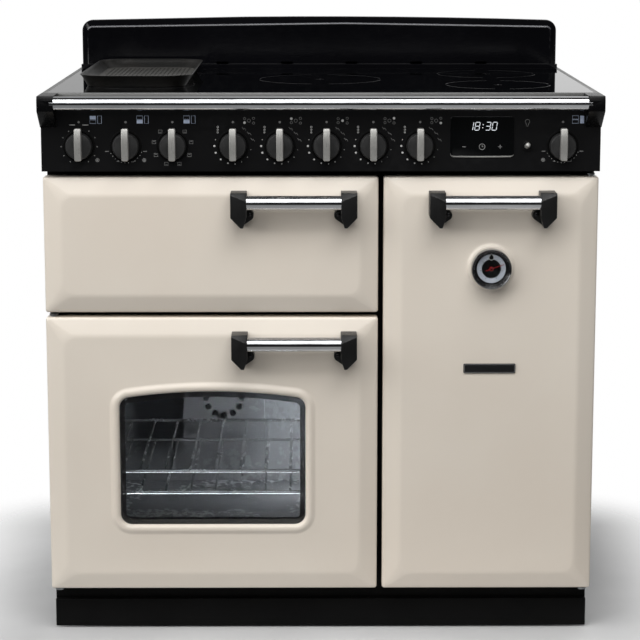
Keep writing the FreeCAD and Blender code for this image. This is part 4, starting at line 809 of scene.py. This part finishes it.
# printing on the control panel: dots, ticks and small signs round each knob, in mm from its axis
dialRows = {  # angle from the top, distance, radius of the dot
    "grill": [(angle, 29, 0.62) for angle in (-150, -122, -92, -62, -34, 34, 62, 92, 122, 150)],
    "oven": [(angle, 27, 0.6) for angle in range(112, 250, 12)],
    "mode": [],
    "zone": [(-70, 30, 0.75), (-90, 30, 1.75), (-111, 30, 1.7), (-137, 29.5, 1.45), (-163, 29, 1.15),
             (174, 29, 0.95), (152, 29, 0.75), (128, 29, 0.6), (102, 29, 0.5)],
}
dialKind = {"knob_grill": "grill", "knob_left_oven": "oven", "knob_right_oven": "oven",
            "knob_left_mode": "mode"}
litCell = {"knob_grill": 0, "knob_left_oven": 1, "knob_left_mode": 1, "knob_right_oven": 2,
           "knob_left_front": 1, "knob_left_rear": 0, "knob_centre": 2, "knob_right_rear": 3,
           "knob_right_front": 4}
hairline, thinLine, midLine, thickLine = 0.55, 0.6, 0.7, 0.8  # widths of printed lines
signs = dict(
    neon=(38.5, 1.9), lampZ=-22.5, lampRing=2.7, lampDot=1.5, grillBars=[(6, 34, 15.5, 34, 0.9)],
    ovenBars=[(27.5, -8.5, 33.5, -8.5, 1.1), (11, -25.2, 15, -24.4, 0.9)],
    ovenCells=[(0, 43, 9.6, 48.6), (0, 36.4, 9.6, 42), (12.4, 36.4, 18.6, 48.6)],
    modeTurns=[(-160, -1), (-118, 0.9), (-78, 0.9), (-40, -1), (40, -1), (78, 0.9), (118, 0.9), (160, -1)],
    modeFar=30.5, modeHalf=(2.9, 2.5), modeBar=1.7, heatX=-24.5, heatZ=(22, 4.3), heatRadius=(1.1, 0.15),
    steamFar=33, steamTurn=(32, 20), steamWave=(3.4, 1.6, 1.1, 5.5),
    zoneCells=[(18.6, 44, 1.9), (18.6, 37.6, 1.9), (25.6, 40.8, 2.6), (33, 44.6, 1.9), (33, 37, 1.9)],
    zoneLit=2.1)
whiteDots, neons = [], []
greyMarks, whiteMarks, blueMarks = bmesh.new(), bmesh.new(), bmesh.new()


def sideBars(bm, x, z, bars):  # the same short bars on both sides of a knob
    for side in (-1, 1):
        for x0, z0, x1, z1, width in bars:
            band(bm, [(x + side * x0, z + z0), (x + side * x1, z + z1)], width)


def zoneSigns(x, z, lit):
    d = signs
    (heatZ, rise), (radius, grow), (angle, turn) = d["heatZ"], d["heatRadius"], d["steamTurn"]
    run, fall, swing, beat = d["steamWave"]
    along = [j / 5 - 1 for j in range(11)]
    for k in range(3):  # heat column and three wavy steam signs
        heat = loop(x + d["heatX"], z + heatZ + rise * k, radius + grow * k, 10)
        band(whiteMarks, heat, midLine, closed=True)
        sx, sz = spotAt(x, z, d["steamFar"], angle + turn * k)
        wave = [(sx + run * t, sz - fall * t + swing * sin(beat * t)) for t in along]
        band(greyMarks, wave, hairline)
    for k, (cx, cz, radius) in enumerate(d["zoneCells"]):
        if k == lit:
            plate(whiteMarks, loop(x + cx, z + cz, d["zoneLit"], 14))
        else:
            band(greyMarks, loop(x + cx, z + cz, radius, 14), hairline, closed=True)


def ovenSigns(x, z, lit, cellX):
    for k, (x0, z0, x1, z1) in enumerate(signs["ovenCells"]):
        cell = frameOf(x + cellX + x0, z + z0, x + cellX + x1, z + z1)
        if k == lit:
            plate(blueMarks, cell)
        else:
            band(blueMarks, cell, thinLine, closed=True)


def modeSigns(x, z):
    halfX, halfZ = signs["modeHalf"]
    for angle, rise in signs["modeTurns"]:
        mx, mz = spotAt(x, z, signs["modeFar"], angle)
        band(greyMarks, frameOf(mx - halfX, mz - halfZ, mx + halfX, mz + halfZ), midLine, closed=True)
        band(greyMarks, [(mx + s * signs["modeBar"], mz + rise) for s in (-1, 1)], thinLine)


for node in knobs:
    x, z = knobSpot(node)
    kind = dialKind.get(node, "zone")
    lampX, cellX = (-31, 15) if node == "knob_right_oven" else (29, 18)
    for angle, far, radius in dialRows[kind]:
        px, pz = spotAt(x, z, far, angle)
        whiteDots.append(((px, panelFace, pz), front, radius))
    neonZ, neonRadius = signs["neon"]
    neons.append(((x, panelFace, z + neonZ), front, neonRadius))
    if kind == "grill":
        sideBars(whiteMarks, x, z, signs["grillBars"])
    if kind in ("grill", "oven"):  # small lamp sign
        band(greyMarks, loop(x + lampX, z + signs["lampZ"], signs["lampRing"]), thickLine, closed=True)
        plate(greyMarks, loop(x + lampX, z + signs["lampZ"], signs["lampDot"], 12))
    if kind == "oven":
        sideBars(greyMarks, x, z, signs["ovenBars"])
    if kind == "mode":
        modeSigns(x, z)
    if kind == "zone":
        zoneSigns(x, z, litCell[node])
    else:
        ovenSigns(x, z, litCell[node], cellX)
setPieces("dialDots", dot, whiteDots, "cabinet", "printWhite")
setPieces("dialNeons", dot, neons, "cabinet", "printGrey")

# clock: slanted figures, touch signs, and the light sign above the switch
clock = dict(
    face=-286.5, midX=258.5, digitZ=854, tall=12.8, wide=7, slant=0.16, stroke=0.95, trim=0.55,
    steps=(-21.6, -11.4, 6, 16.2), colon=(1, 2.4, 0.8),
    touch=[([(226.5, 821), (232.5, 821)], 1.1), ([(284.5, 821), (290.5, 821)], 1.1),
        ([(287.5, 818), (287.5, 824)], 1.1), ([(258.5, 823.6), (258.5, 821), (260.6, 821)], 0.9)],
    ring=(258.5, 821, 4.6, 24), ringWide=1, bulb=(331, 861, 3.6, -145, 145, 16),
    cap=[(329.6, 855), (332.4, 855)], foot=[(329.6, 853.9), (332.4, 853.9)])
segmentsOf = {"1": "bc", "8": "abcdefg", "3": "abcdg", "0": "abcdef"}


def clockFigures():
    d, w, h = clock, clock["wide"], clock["tall"]
    ends = {"a": ((0, h), (w, h)), "b": ((w, h), (w, h / 2)), "c": ((w, h / 2), (w, 0)),
            "d": ((0, 0), (w, 0)), "e": ((0, 0), (0, h / 2)), "f": ((0, h / 2), (0, h)),
            "g": ((0, h / 2), (w, h / 2))}
    bm = bmesh.new()
    for figure, step in zip("1830", d["steps"]):
        for segment in segmentsOf[figure]:
            a, b = (Vector(end) for end in ends[segment])
            trim = (b - a).normalized() * d["trim"]
            line = [(d["midX"] + step + p.x + d["slant"] * (p.y - h / 2), d["digitZ"] - h / 2 + p.y)
                    for p in (a + trim, b - trim)]
            band(bm, line, d["stroke"], d["face"])
    aside, apart, radius = d["colon"]
    for rise in (-apart, apart):
        plate(bm, loop(d["midX"] + aside + d["slant"] * rise, d["digitZ"] + rise, radius, 10), d["face"])
    return bm


printPiece("clockFigures", clockFigures(), "digitLight", slot="clock_glass")
for points, width in clock["touch"]:
    band(greyMarks, points, width, clock["face"])
band(greyMarks, loop(*clock["ring"]), clock["ringWide"], clock["face"], closed=True)
cap = clock["cap"]
band(greyMarks, cap[:1] + arc(*clock["bulb"]) + cap[1:], thinLine)
band(greyMarks, clock["foot"], thinLine)
printPiece("panelSignsGrey", greyMarks, "printGrey")
printPiece("panelSignsWhite", whiteMarks, "printWhite")
printPiece("panelSignsBlue", blueMarks, "printBlue")
print("stage: panel printing")

# bright bow under the clock: a turned-up end, a sagging middle, the same end mirrored
bow = dict(
    left=208.5, right=308.5, lowZ=804.6, wide=2.1, thick=1.6, sag=0.5, cuts=12,
    end=[(0, 5.4), (0.3, 3.2), (1.6, 1.6), (4.2, 0.5)], edges=(0.35, 60))


def clockBow():
    d, cuts = bow, bow["cuts"]
    end = [(d["left"] + x, d["lowZ"] + z) for x, z in d["end"]]
    run, lip = d["end"][-1]
    span = d["right"] - d["left"] - 2 * run
    middle = [(d["left"] + run + span * k / cuts, d["lowZ"] + lip - d["sag"] * sin(pi * k / cuts))
              for k in range(1, cuts)]
    bm = bmesh.new()
    far = [(d["left"] + d["right"] - x, z) for x, z in reversed(end)]
    band(bm, end + middle + far, d["wide"], thick=d["thick"])
    return roundEdges(outward(bm), *d["edges"], clamp=False)


addPiece("clockBow", clockBow(), "cabinet", "trim_steel", ["gripSilver"])

# gauge: polished ring, dial face, needle
gauge = dict(
    x=275.25, z=624, dialY=-296, lean=20, silver=(15.6, 23.4), silverThick=0.4,
    ring=[(29.1, -302.6), (29.2, -304.6), (29.7, -306), (30.6, -306.8), (31.6, -306.6), (32.4, -305.6),
        (32.8, -304), (32.8, -290.5), (32.6, -288.2)], ticks=(-150, 10, 31), shortTick=(15.8, 17.6, 0.4),
    longTick=(15.8, 18.8, 0.7), tickLift=0.4, dropTip=24.5, dropMid=18.2, drop=(3.4, 50, 310, 16),
    dropLift=0.45, dropThick=0.2, dropEdge=(0.5, 1), edgeLift=0.7, needleY=-298.1, needleThick=0.8,
    needle=[(-9.5, -0.65), (0, -0.95), (22, -0.3), (22, 0.3), (0, 0.95), (-9.5, 0.65)],
    hub=[(1.52, -297), (3.4, -297), (3.5, -297.5), (3.5, -299.2), (3.1, -299.8), (2.2, -300), (1.52, -300)])
gx, gz, dialY = gauge["x"], gauge["z"], gauge["dialY"]
onGauge = ("right_oven_door", "gauge_black")
bm = bmesh.new()
lathe(bm, gauge["ring"], gx, gz)
addPiece("gaugeRing", outward(bm), *onGauge, ["bezelSteel"])
bm = bmesh.new()
inner, outer = gauge["silver"]
band(bm, loop(gx, gz, (inner + outer) / 2, 64), outer - inner, dialY, gauge["silverThick"], closed=True)
printPiece("gaugeDial", bm, "dialSilver", *onGauge)
bm = bmesh.new()
start, step, count = gauge["ticks"]
for k in range(count):  # fine ticks inside the silver ring, leaving the foot of the dial open
    near, far, width = gauge["shortTick" if k % 5 else "longTick"]
    band(bm, [spotAt(gx, gz, r, start + step * k) for r in (near, far)], width, dialY - gauge["tickLift"])
drop = [(gx, gz + gauge["dropTip"])] + arc(gx, gz + gauge["dropMid"], *gauge["drop"])
plate(bm, drop, dialY - gauge["dropLift"], gauge["dropThick"])
printPiece("gaugeTicks", bm, "gauge_black", *onGauge)
bm = bmesh.new()
reach, width = gauge["dropEdge"]
band(bm, grownOutline(drop[::-1], reach), width, dialY - gauge["edgeLift"], closed=True)
printPiece("gaugeDrop", bm, "printWhite", *onGauge)
bm = bmesh.new()
lean = radians(gauge["lean"])
needle = [(gx + u * cos(lean) - v * sin(lean), gz + u * sin(lean) + v * cos(lean))
          for u, v in gauge["needle"]]
plate(bm, needle, gauge["needleY"], gauge["needleThick"])
lathe(bm, gauge["hub"], gx, gz, 32)
addPiece("gaugePointer", outward(bm), "needle", "needle_red", stands=("gauge_needle",))
print("stage: gauge")

# dark border round the window glass: a printed frit, and painted shade along the glass edge in the door's
# depth
frit = dict(inset=4.5, wide=9, y=-281.05, thick=0.12)
bm = bmesh.new()
border = grownOutline(windowOutline(), -frit["inset"])
band(bm, border, frit["wide"], frit["y"], frit["thick"], closed=True)
printPiece("windowBorder", bm, "fritBlack", "left_oven_door", "window_glass")

# blank plate on the right door: a raised border, nothing on it
blank = dict(inset=1.5, radius=1.2, wide=0.6, thick=0.2)
low, high = boxOf("door_plate")
bm = bmesh.new()
border = roundBox(low.x, high.x, low.z, high.z, blank["inset"], blank["radius"], 4)
band(bm, border, blank["wide"], low.y, blank["thick"], closed=True)
printPiece("plateBorder", bm, "printGrey", "right_oven_door", "plate_black")

# rings printed on the hob glass over each coil, broken in four, with a small cross in the middle
zones = dict(
    z=905, wide=1.6, crossWide=1.2, cross=7, thick=0.08, quarter=(8, 82),
    spots=[(-300, -91, 88), (-300, 153, 88), (0, 31, 106), (300, -91, 88), (300, 153, 88)])
bm = bmesh.new()
for x, y, radius in zones["spots"]:
    for quarter in range(0, 360, 90):
        start, end = (quarter + angle for angle in zones["quarter"])
        band(bm, arc(x, y, radius, start, end, 20), zones["wide"], 0, zones["thick"])
    for turn in (0, 90):
        ends = [spotAt(x, y, zones["cross"], turn + flip) for flip in (0, 180)]
        band(bm, ends, zones["crossWide"], 0, zones["thick"])
printPiece("hobRings", laidFlat(bm, zones["z"] * mm), "zonePrint", slot="hob_glass")

# griddle: a cast tray with a rolled lip, and ribs along its floor
tray = dict(
    radius=48, leastRadius=6, floorZ=909, floorReach=1, flat=0.9, ribs=19, ribWide=3, ribTall=1.6,
    ribEnd=30, ribRow=4, ribTaper=(2, 0.3),
    wall=[(14, 905), (12.5, 905.4), (3, 921.5), (0.6, 923.6), (0, 924.4), (0.4, 925), (1.6, 925),
        (2.6, 924.4), (5, 921), (15, 909.8), (18, 909), (22, 909)])
low, high = boxOf("griddle")
middle = (low + high) / 2


def griddleTray():
    d = tray
    bm = bmesh.new()
    rings = []
    for inset, z in d["wall"]:
        radius = max(d["radius"] - inset, d["leastRadius"])
        rings.append(ringOf(bm, roundBox(low.x, high.x, low.y, high.y, inset, radius), -z))
    skinBetween(bm, rings)
    fillRings(bm, rings[0])
    fillRings(bm, rings[-1])
    outward(laidFlat(bm))
    floorTop = (d["floorZ"] + d["floorReach"]) * mm
    for face in bm.faces:  # the upward floor faces take a paler copy of the iron coat, painted light from above
        face.material_index = int(face.normal.z > d["flat"] and face.calc_center_median().z < floorTop)
    return bm


def ribShape():  # half-round bar along Y, in mm
    d = tray
    half = (high.y - low.y) / 2 - d["ribEnd"]
    taper, small = d["ribTaper"]
    wide, tall = d["ribWide"] / 2, d["ribTall"]
    turns = [pi * k / 8 for k in range(9)]
    bm = bmesh.new()
    rings = [[bm.verts.new((wide * s * cos(t), y, tall * s * sin(t))) for t in turns]
             for y, s in ((-half, small), (taper - half, 1), (half - taper, 1), (half, small))]
    return shapeObject("ribShape", bm, rings)


standIn("griddle", ".cast", griddleTray(), ["griddle_iron", "seasonedFloor"])
rib = ribShape()
reach = (high.x - low.x) / 2 - tray["ribEnd"] + tray["ribRow"]
across = [2 * k / (tray["ribs"] - 1) - 1 for k in range(tray["ribs"])]
spots = [((middle.x + reach * t, middle.y, tray["floorZ"]), upward, 1) for t in across]
setPieces("griddleRibs", rib, spots, "griddle", "seasonedFloor")
print("stage: griddle")


# oven seals: a rounded bead drawn along each mouth
def sealTree():
    sizes = dict.fromkeys(("Width", "Height", "Corner", "Section", "Flatten"), "Float")
    inputs = {"Geometry": "Geometry", **sizes, "Place": "Vector", "Finish": "Material"}
    tree, give, take = groupTree("GeometryNodeTree", "sealRun", inputs, "Geometry")
    path = flow(tree, "CurvePrimitiveQuadrilateral", {label: give[label] for label in ("Width", "Height")})
    corner = {"Curve": path, "Radius": give["Corner"], "Count": 8}
    soft = flow(tree, "FilletCurve", corner, mode="POLY")
    circle = flow(tree, "CurvePrimitiveCircle", {"Resolution": 16, "Radius": give["Section"]})
    flat = flow(tree, "ShaderNodeCombineXYZ", {0: give["Flatten"], 1: 1, 2: 1})
    profile = flow(tree, "Transform", {"Geometry": circle, "Scale": flat})
    tube = flow(tree, "CurveToMesh", {"Curve": soft, "Profile Curve": profile})
    stand = flow(tree, "Transform", {
        "Geometry": tube, "Translation": give["Place"], "Rotation": (pi / 2, 0, 0)})
    both = newNode(tree, "JoinGeometry", {0: coated(tree, give, stand)})
    join(tree, give["Geometry"], both.inputs[0])
    join(tree, both.outputs[0], take)
    return tree


sealRun = sealTree()
seal = dict(thick=0.008, corner=0.012, shy=0.0002)  # metres
passes = []
for low, high in looseBoxes("door_seals"):
    thick, shy = seal["thick"], seal["shy"]
    passes.append((sealRun, {
        "Width": high.x - low.x - thick, "Height": high.z - low.z - thick, "Corner": seal["corner"],
        "Section": thick / 2 - shy, "Flatten": (high.y - low.y - shy) / (thick - 2 * shy),
        "Place": (low + high) / 2, "Finish": finish["seal_rubber"]}))
seals = plainMesh("ovenSeals", bpy.data.meshes.new("seals"), passes)
settle("ovenSeals", seals, "cabinet", 60, ("door_seals",))
print("stage: seals,", len(passes))

# pressed bead round the inner side of each door, just inside the oven mouth, metres
bead = dict(
    section=0.006, flatten=0.42, corner=0.022,
    inset={"left_oven": 0.022, "grill": 0.026, "right_oven": 0.03})
for mouth, inset in bead["inset"].items():
    label = mouth.split("_")[0]
    liner = label + "_door_liner"
    low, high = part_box(mouth + "_liner")
    middle = (low + high) / 2
    middle.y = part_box(liner)[1].y
    run = {"Width": high.x - low.x - 2 * inset, "Height": high.z - low.z - 2 * inset, "Place": middle,
           "Corner": bead["corner"], "Section": bead["section"], "Flatten": bead["flatten"],
           "Finish": finish["oven_enamel"]}
    made = plainMesh(label + "DoorBead", bpy.data.meshes.new(label + "Bead"), [(sealRun, run)])
    settle(label + "DoorBead", made, bodyOf(liner), 60)
print("stage: door beads")

# pressed stiffening ribs on the back panel, tapering into it at their ends
swage = dict(
    rows=(0.3, 0.5, 0.7), end=150, run=16, sunk=0.4, endTall=0.04, narrow=(0.55, 0.45),
    section=[(-15, -0.4), (-12, 0.5), (-7, 2), (-3, 2.6), (3, 2.6), (7, 2), (12, 0.5), (15, -0.4)])


def backRibs():
    d = swage
    low, high = boxOf("back_panel")
    left, right, run, thin = low.x + d["end"], high.x - d["end"], d["run"], d["endTall"]
    least, more = d["narrow"]
    bm = bmesh.new()
    for row in d["rows"]:
        z = low.z + (high.z - low.z) * row
        rings = []
        for x, tall in ((left, thin), (left + run, 1), (right - run, 1), (right, thin)):
            rings.append([bm.verts.new((x * mm, (high.y - d["sunk"] + (out + d["sunk"]) * tall) * mm,
                                        (z + up * (least + more * tall)) * mm)) for up, out in d["section"]])
        skinBetween(bm, rings)
        capEnds(bm, rings)
    return outward(bm)


addPiece("backRibs", backRibs(), "cabinet", "zinc_steel", smooth=50)


# screws, set by body
def caseScrews():
    d, spots = fixings, []
    low, high = boxOf("back_panel")
    endX, edge = d["backInset"]
    for k in range(d["backRow"]):
        x = low.x + endX + (high.x - low.x - 2 * endX) * k / (d["backRow"] - 1)
        spots += [((x, high.y, z), back, d["back"]) for z in (low.z + edge, high.z - edge)]
    for k in range(1, d["backColumn"]):
        z = low.z + (high.z - low.z) * k / d["backColumn"]
        spots += [((x, high.y, z), back, d["back"]) for x in (low.x + edge, high.x - edge)]
    low, high = boxOf("terminal_box")
    inset = d["boxInset"]
    for x in (low.x + inset, high.x - inset):
        spots += [((x, high.y, z), back, d["box"]) for z in (low.z + inset, high.z - inset)]
    low, high = boxOf("side_panels")
    for y in d["sideRows"]:
        for z in (low.z + d["sideInset"], high.z - d["sideInset"]):
            spots += [((low.x, y, z), leftward, d["side"]), ((high.x, y, z), rightward, d["side"])]
    return spots


def doorScrews(label):
    d, inset = fixings, fixings["doorInset"]
    low, high = boxOf(label + "_door_liner")
    rows = (low.z + inset, (low.z + high.z) / 2, high.z - inset)
    spots = [((x, high.y, z), back, d["door"]) for x in (low.x + inset, high.x - inset) for z in rows]
    low, high = boxOf(label + "_handle_brackets")
    aside, y, down = d["bracketInset"]
    return spots + [((x, y, high.z - down), front, d["bracket"]) for x in (low.x + aside, high.x - aside)]


setPieces("caseScrews", screw, caseScrews(), "cabinet", "darkScrew")
for label in ("grill", "left", "right"):
    body = bodyOf(label + "_door_liner")
    setPieces(label + "DoorScrews", screw, doorScrews(label), body, "darkScrew")
print("stage: screws")

# pale floor that fades out round the foot of the cooker, metres
ground = dict(
    half=(0.95, 0.85), drop=-0.0003, foot=(0.45, 0.33), fade=(0.02, 0.3),
    paint=((188, 188, 188), (221, 221, 221), 1.5, (0.6, 0.75), 2), spread=0.3)
halfX, halfY = ground["half"]
floorMesh = bpy.data.meshes.new("floor")
floorMesh.from_pydata([(x, y, 0) for x, y in frameOf(-halfX, -halfY, halfX, halfY)], [], [(0, 1, 2, 3)])
floor = placed("floor", floorMesh)
floor.location.z = ground["drop"]
floorPaint = makeFinish("floorPaint", *ground["paint"], spread=ground["spread"])
tree = floorPaint.node_tree
place = newNode(tree, "SeparateXYZ", {0: ownPlace(tree)}).outputs
squares = 0
for axis, half in zip("XY", ground["foot"]):
    past = sums(tree, "MAXIMUM", sums(tree, "SUBTRACT", sums(tree, "ABSOLUTE", place[axis]), half))
    squares = sums(tree, "ADD", squares, sums(tree, "MULTIPLY", past, past))
floorShader = next(n for n in tree.nodes if n.type == "BSDF_PRINCIPLED")
shown = ranged(tree, sums(tree, "SQRT", squares), *ground["fade"], 1, 0)
join(tree, shown, floorShader.inputs["Alpha"])
floorMesh.materials.append(floorPaint)
floor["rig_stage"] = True

# white to the camera; for the light it is bright behind, faint above and bright low down
room = dict(
    front=0.03, back=1, top=0.08, low=0.62, lowSoft=0.5, leftward=0.6, backFade=(0.1, 0.7),
    topFade=(0.25, 0.8), lowFade=(-0.55, -0.25), sideFade=(-0.12, 0.12))
world = bpy.data.worlds.new("room")
scene.world = world
world.use_nodes = True
tree = world.node_tree
tree.nodes.clear()
ray = newNode(tree, "LightPath").outputs
way = newNode(tree, "TexCoord").outputs["Generated"]
way = newNode(tree, "SeparateXYZ", {0: way}).outputs
behind = ranged(tree, way["Y"], *room["backFade"], room["front"], room["back"])
above = ranged(tree, way["Z"], *room["topFade"], 0, room["top"])
below = ranged(tree, way["Z"], *room["lowFade"], room["low"], 0)
below = sums(tree, "MULTIPLY", below, ranged(tree, ray["Is Diffuse Ray"], 0, 1, 1, room["lowSoft"]))
level = sums(tree, "MAXIMUM", sums(tree, "MAXIMUM", behind, above), below)
level = sums(tree, "MULTIPLY", level, ranged(tree, way["X"], *room["sideFade"], room["leftward"], 1))
lit = flow(tree, "Background", {"Strength": level})
seen = flow(tree, "Background", {"Color": (1, 1, 1, 1)})
shown = flow(tree, "MixShader", {0: ray["Is Camera Ray"], 1: lit, 2: seen})
newNode(tree, "OutputWorld", {0: shown})

softBoxes = {  # place, aim, width and height in metres, watts, spread in degrees, seen in mirrors
    "keyBox": ((-4.56, -2.6, 3.6), (0, -0.25, 0.5), (6.5, 5), 282, 180, True),
    "topBox": ((0.2, -1.95, 3.4), (0, -0.2, 0.5), (3, 1.3), 60, 180, True),
    "bandBox": ((0.1, -3, 2.6), (0, -0.3, 0.65), (2.8, 2.2), 38, 180, True),
    "fillBox": ((2.8, -2.4, 1.6), (0, -0.2, 0.5), (1.4, 1.8), 2, 180, True),
    "ovenGlow": ((0.036, 0.085, 0.29), (-0.2, 0.17, 0.29), (0.05, 0.28), 3.9, 140, False),
    "rackStrip": ((-0.178, -0.222, 0.15), (-0.178, -0.205, 0.3), (0.33, 0.02), 0.36, 80, True),
}
for name, (place, aim, size, watts, spread, mirrored) in softBoxes.items():
    light = bpy.data.lights.new(name, "AREA")
    light.shape = "RECTANGLE"
    light.size, light.size_y = size
    light.energy, light.spread = watts, radians(spread)
    lamp = placed(name, light)
    lamp.location = place
    lamp.rotation_euler = (Vector(aim) - Vector(place)).to_track_quat("-Z", "Y").to_euler()
    lamp.visible_camera = False
    lamp.visible_glossy = mirrored
scene.view_settings.view_transform = "Standard"
scene.view_settings.look = "None"
print("stage: room and lights")

lens = dict(place=(-0.017, -3.6, 1.183), down=9.6, turn=-0.267, focal=116.7, shiftY=-0.08)
cameraData = bpy.data.cameras.new("photoCamera")
cameraData.lens, cameraData.shift_y = lens["focal"], lens["shiftY"]
camera = placed("photoCamera", cameraData)
camera.location = lens["place"]
camera.rotation_euler = (radians(90 - lens["down"]), 0, radians(lens["turn"]))
scene.camera = camera

for shape in (dot, screw, rib):
    bpy.data.objects.remove(shape)
low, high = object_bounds()
print("stage: done")
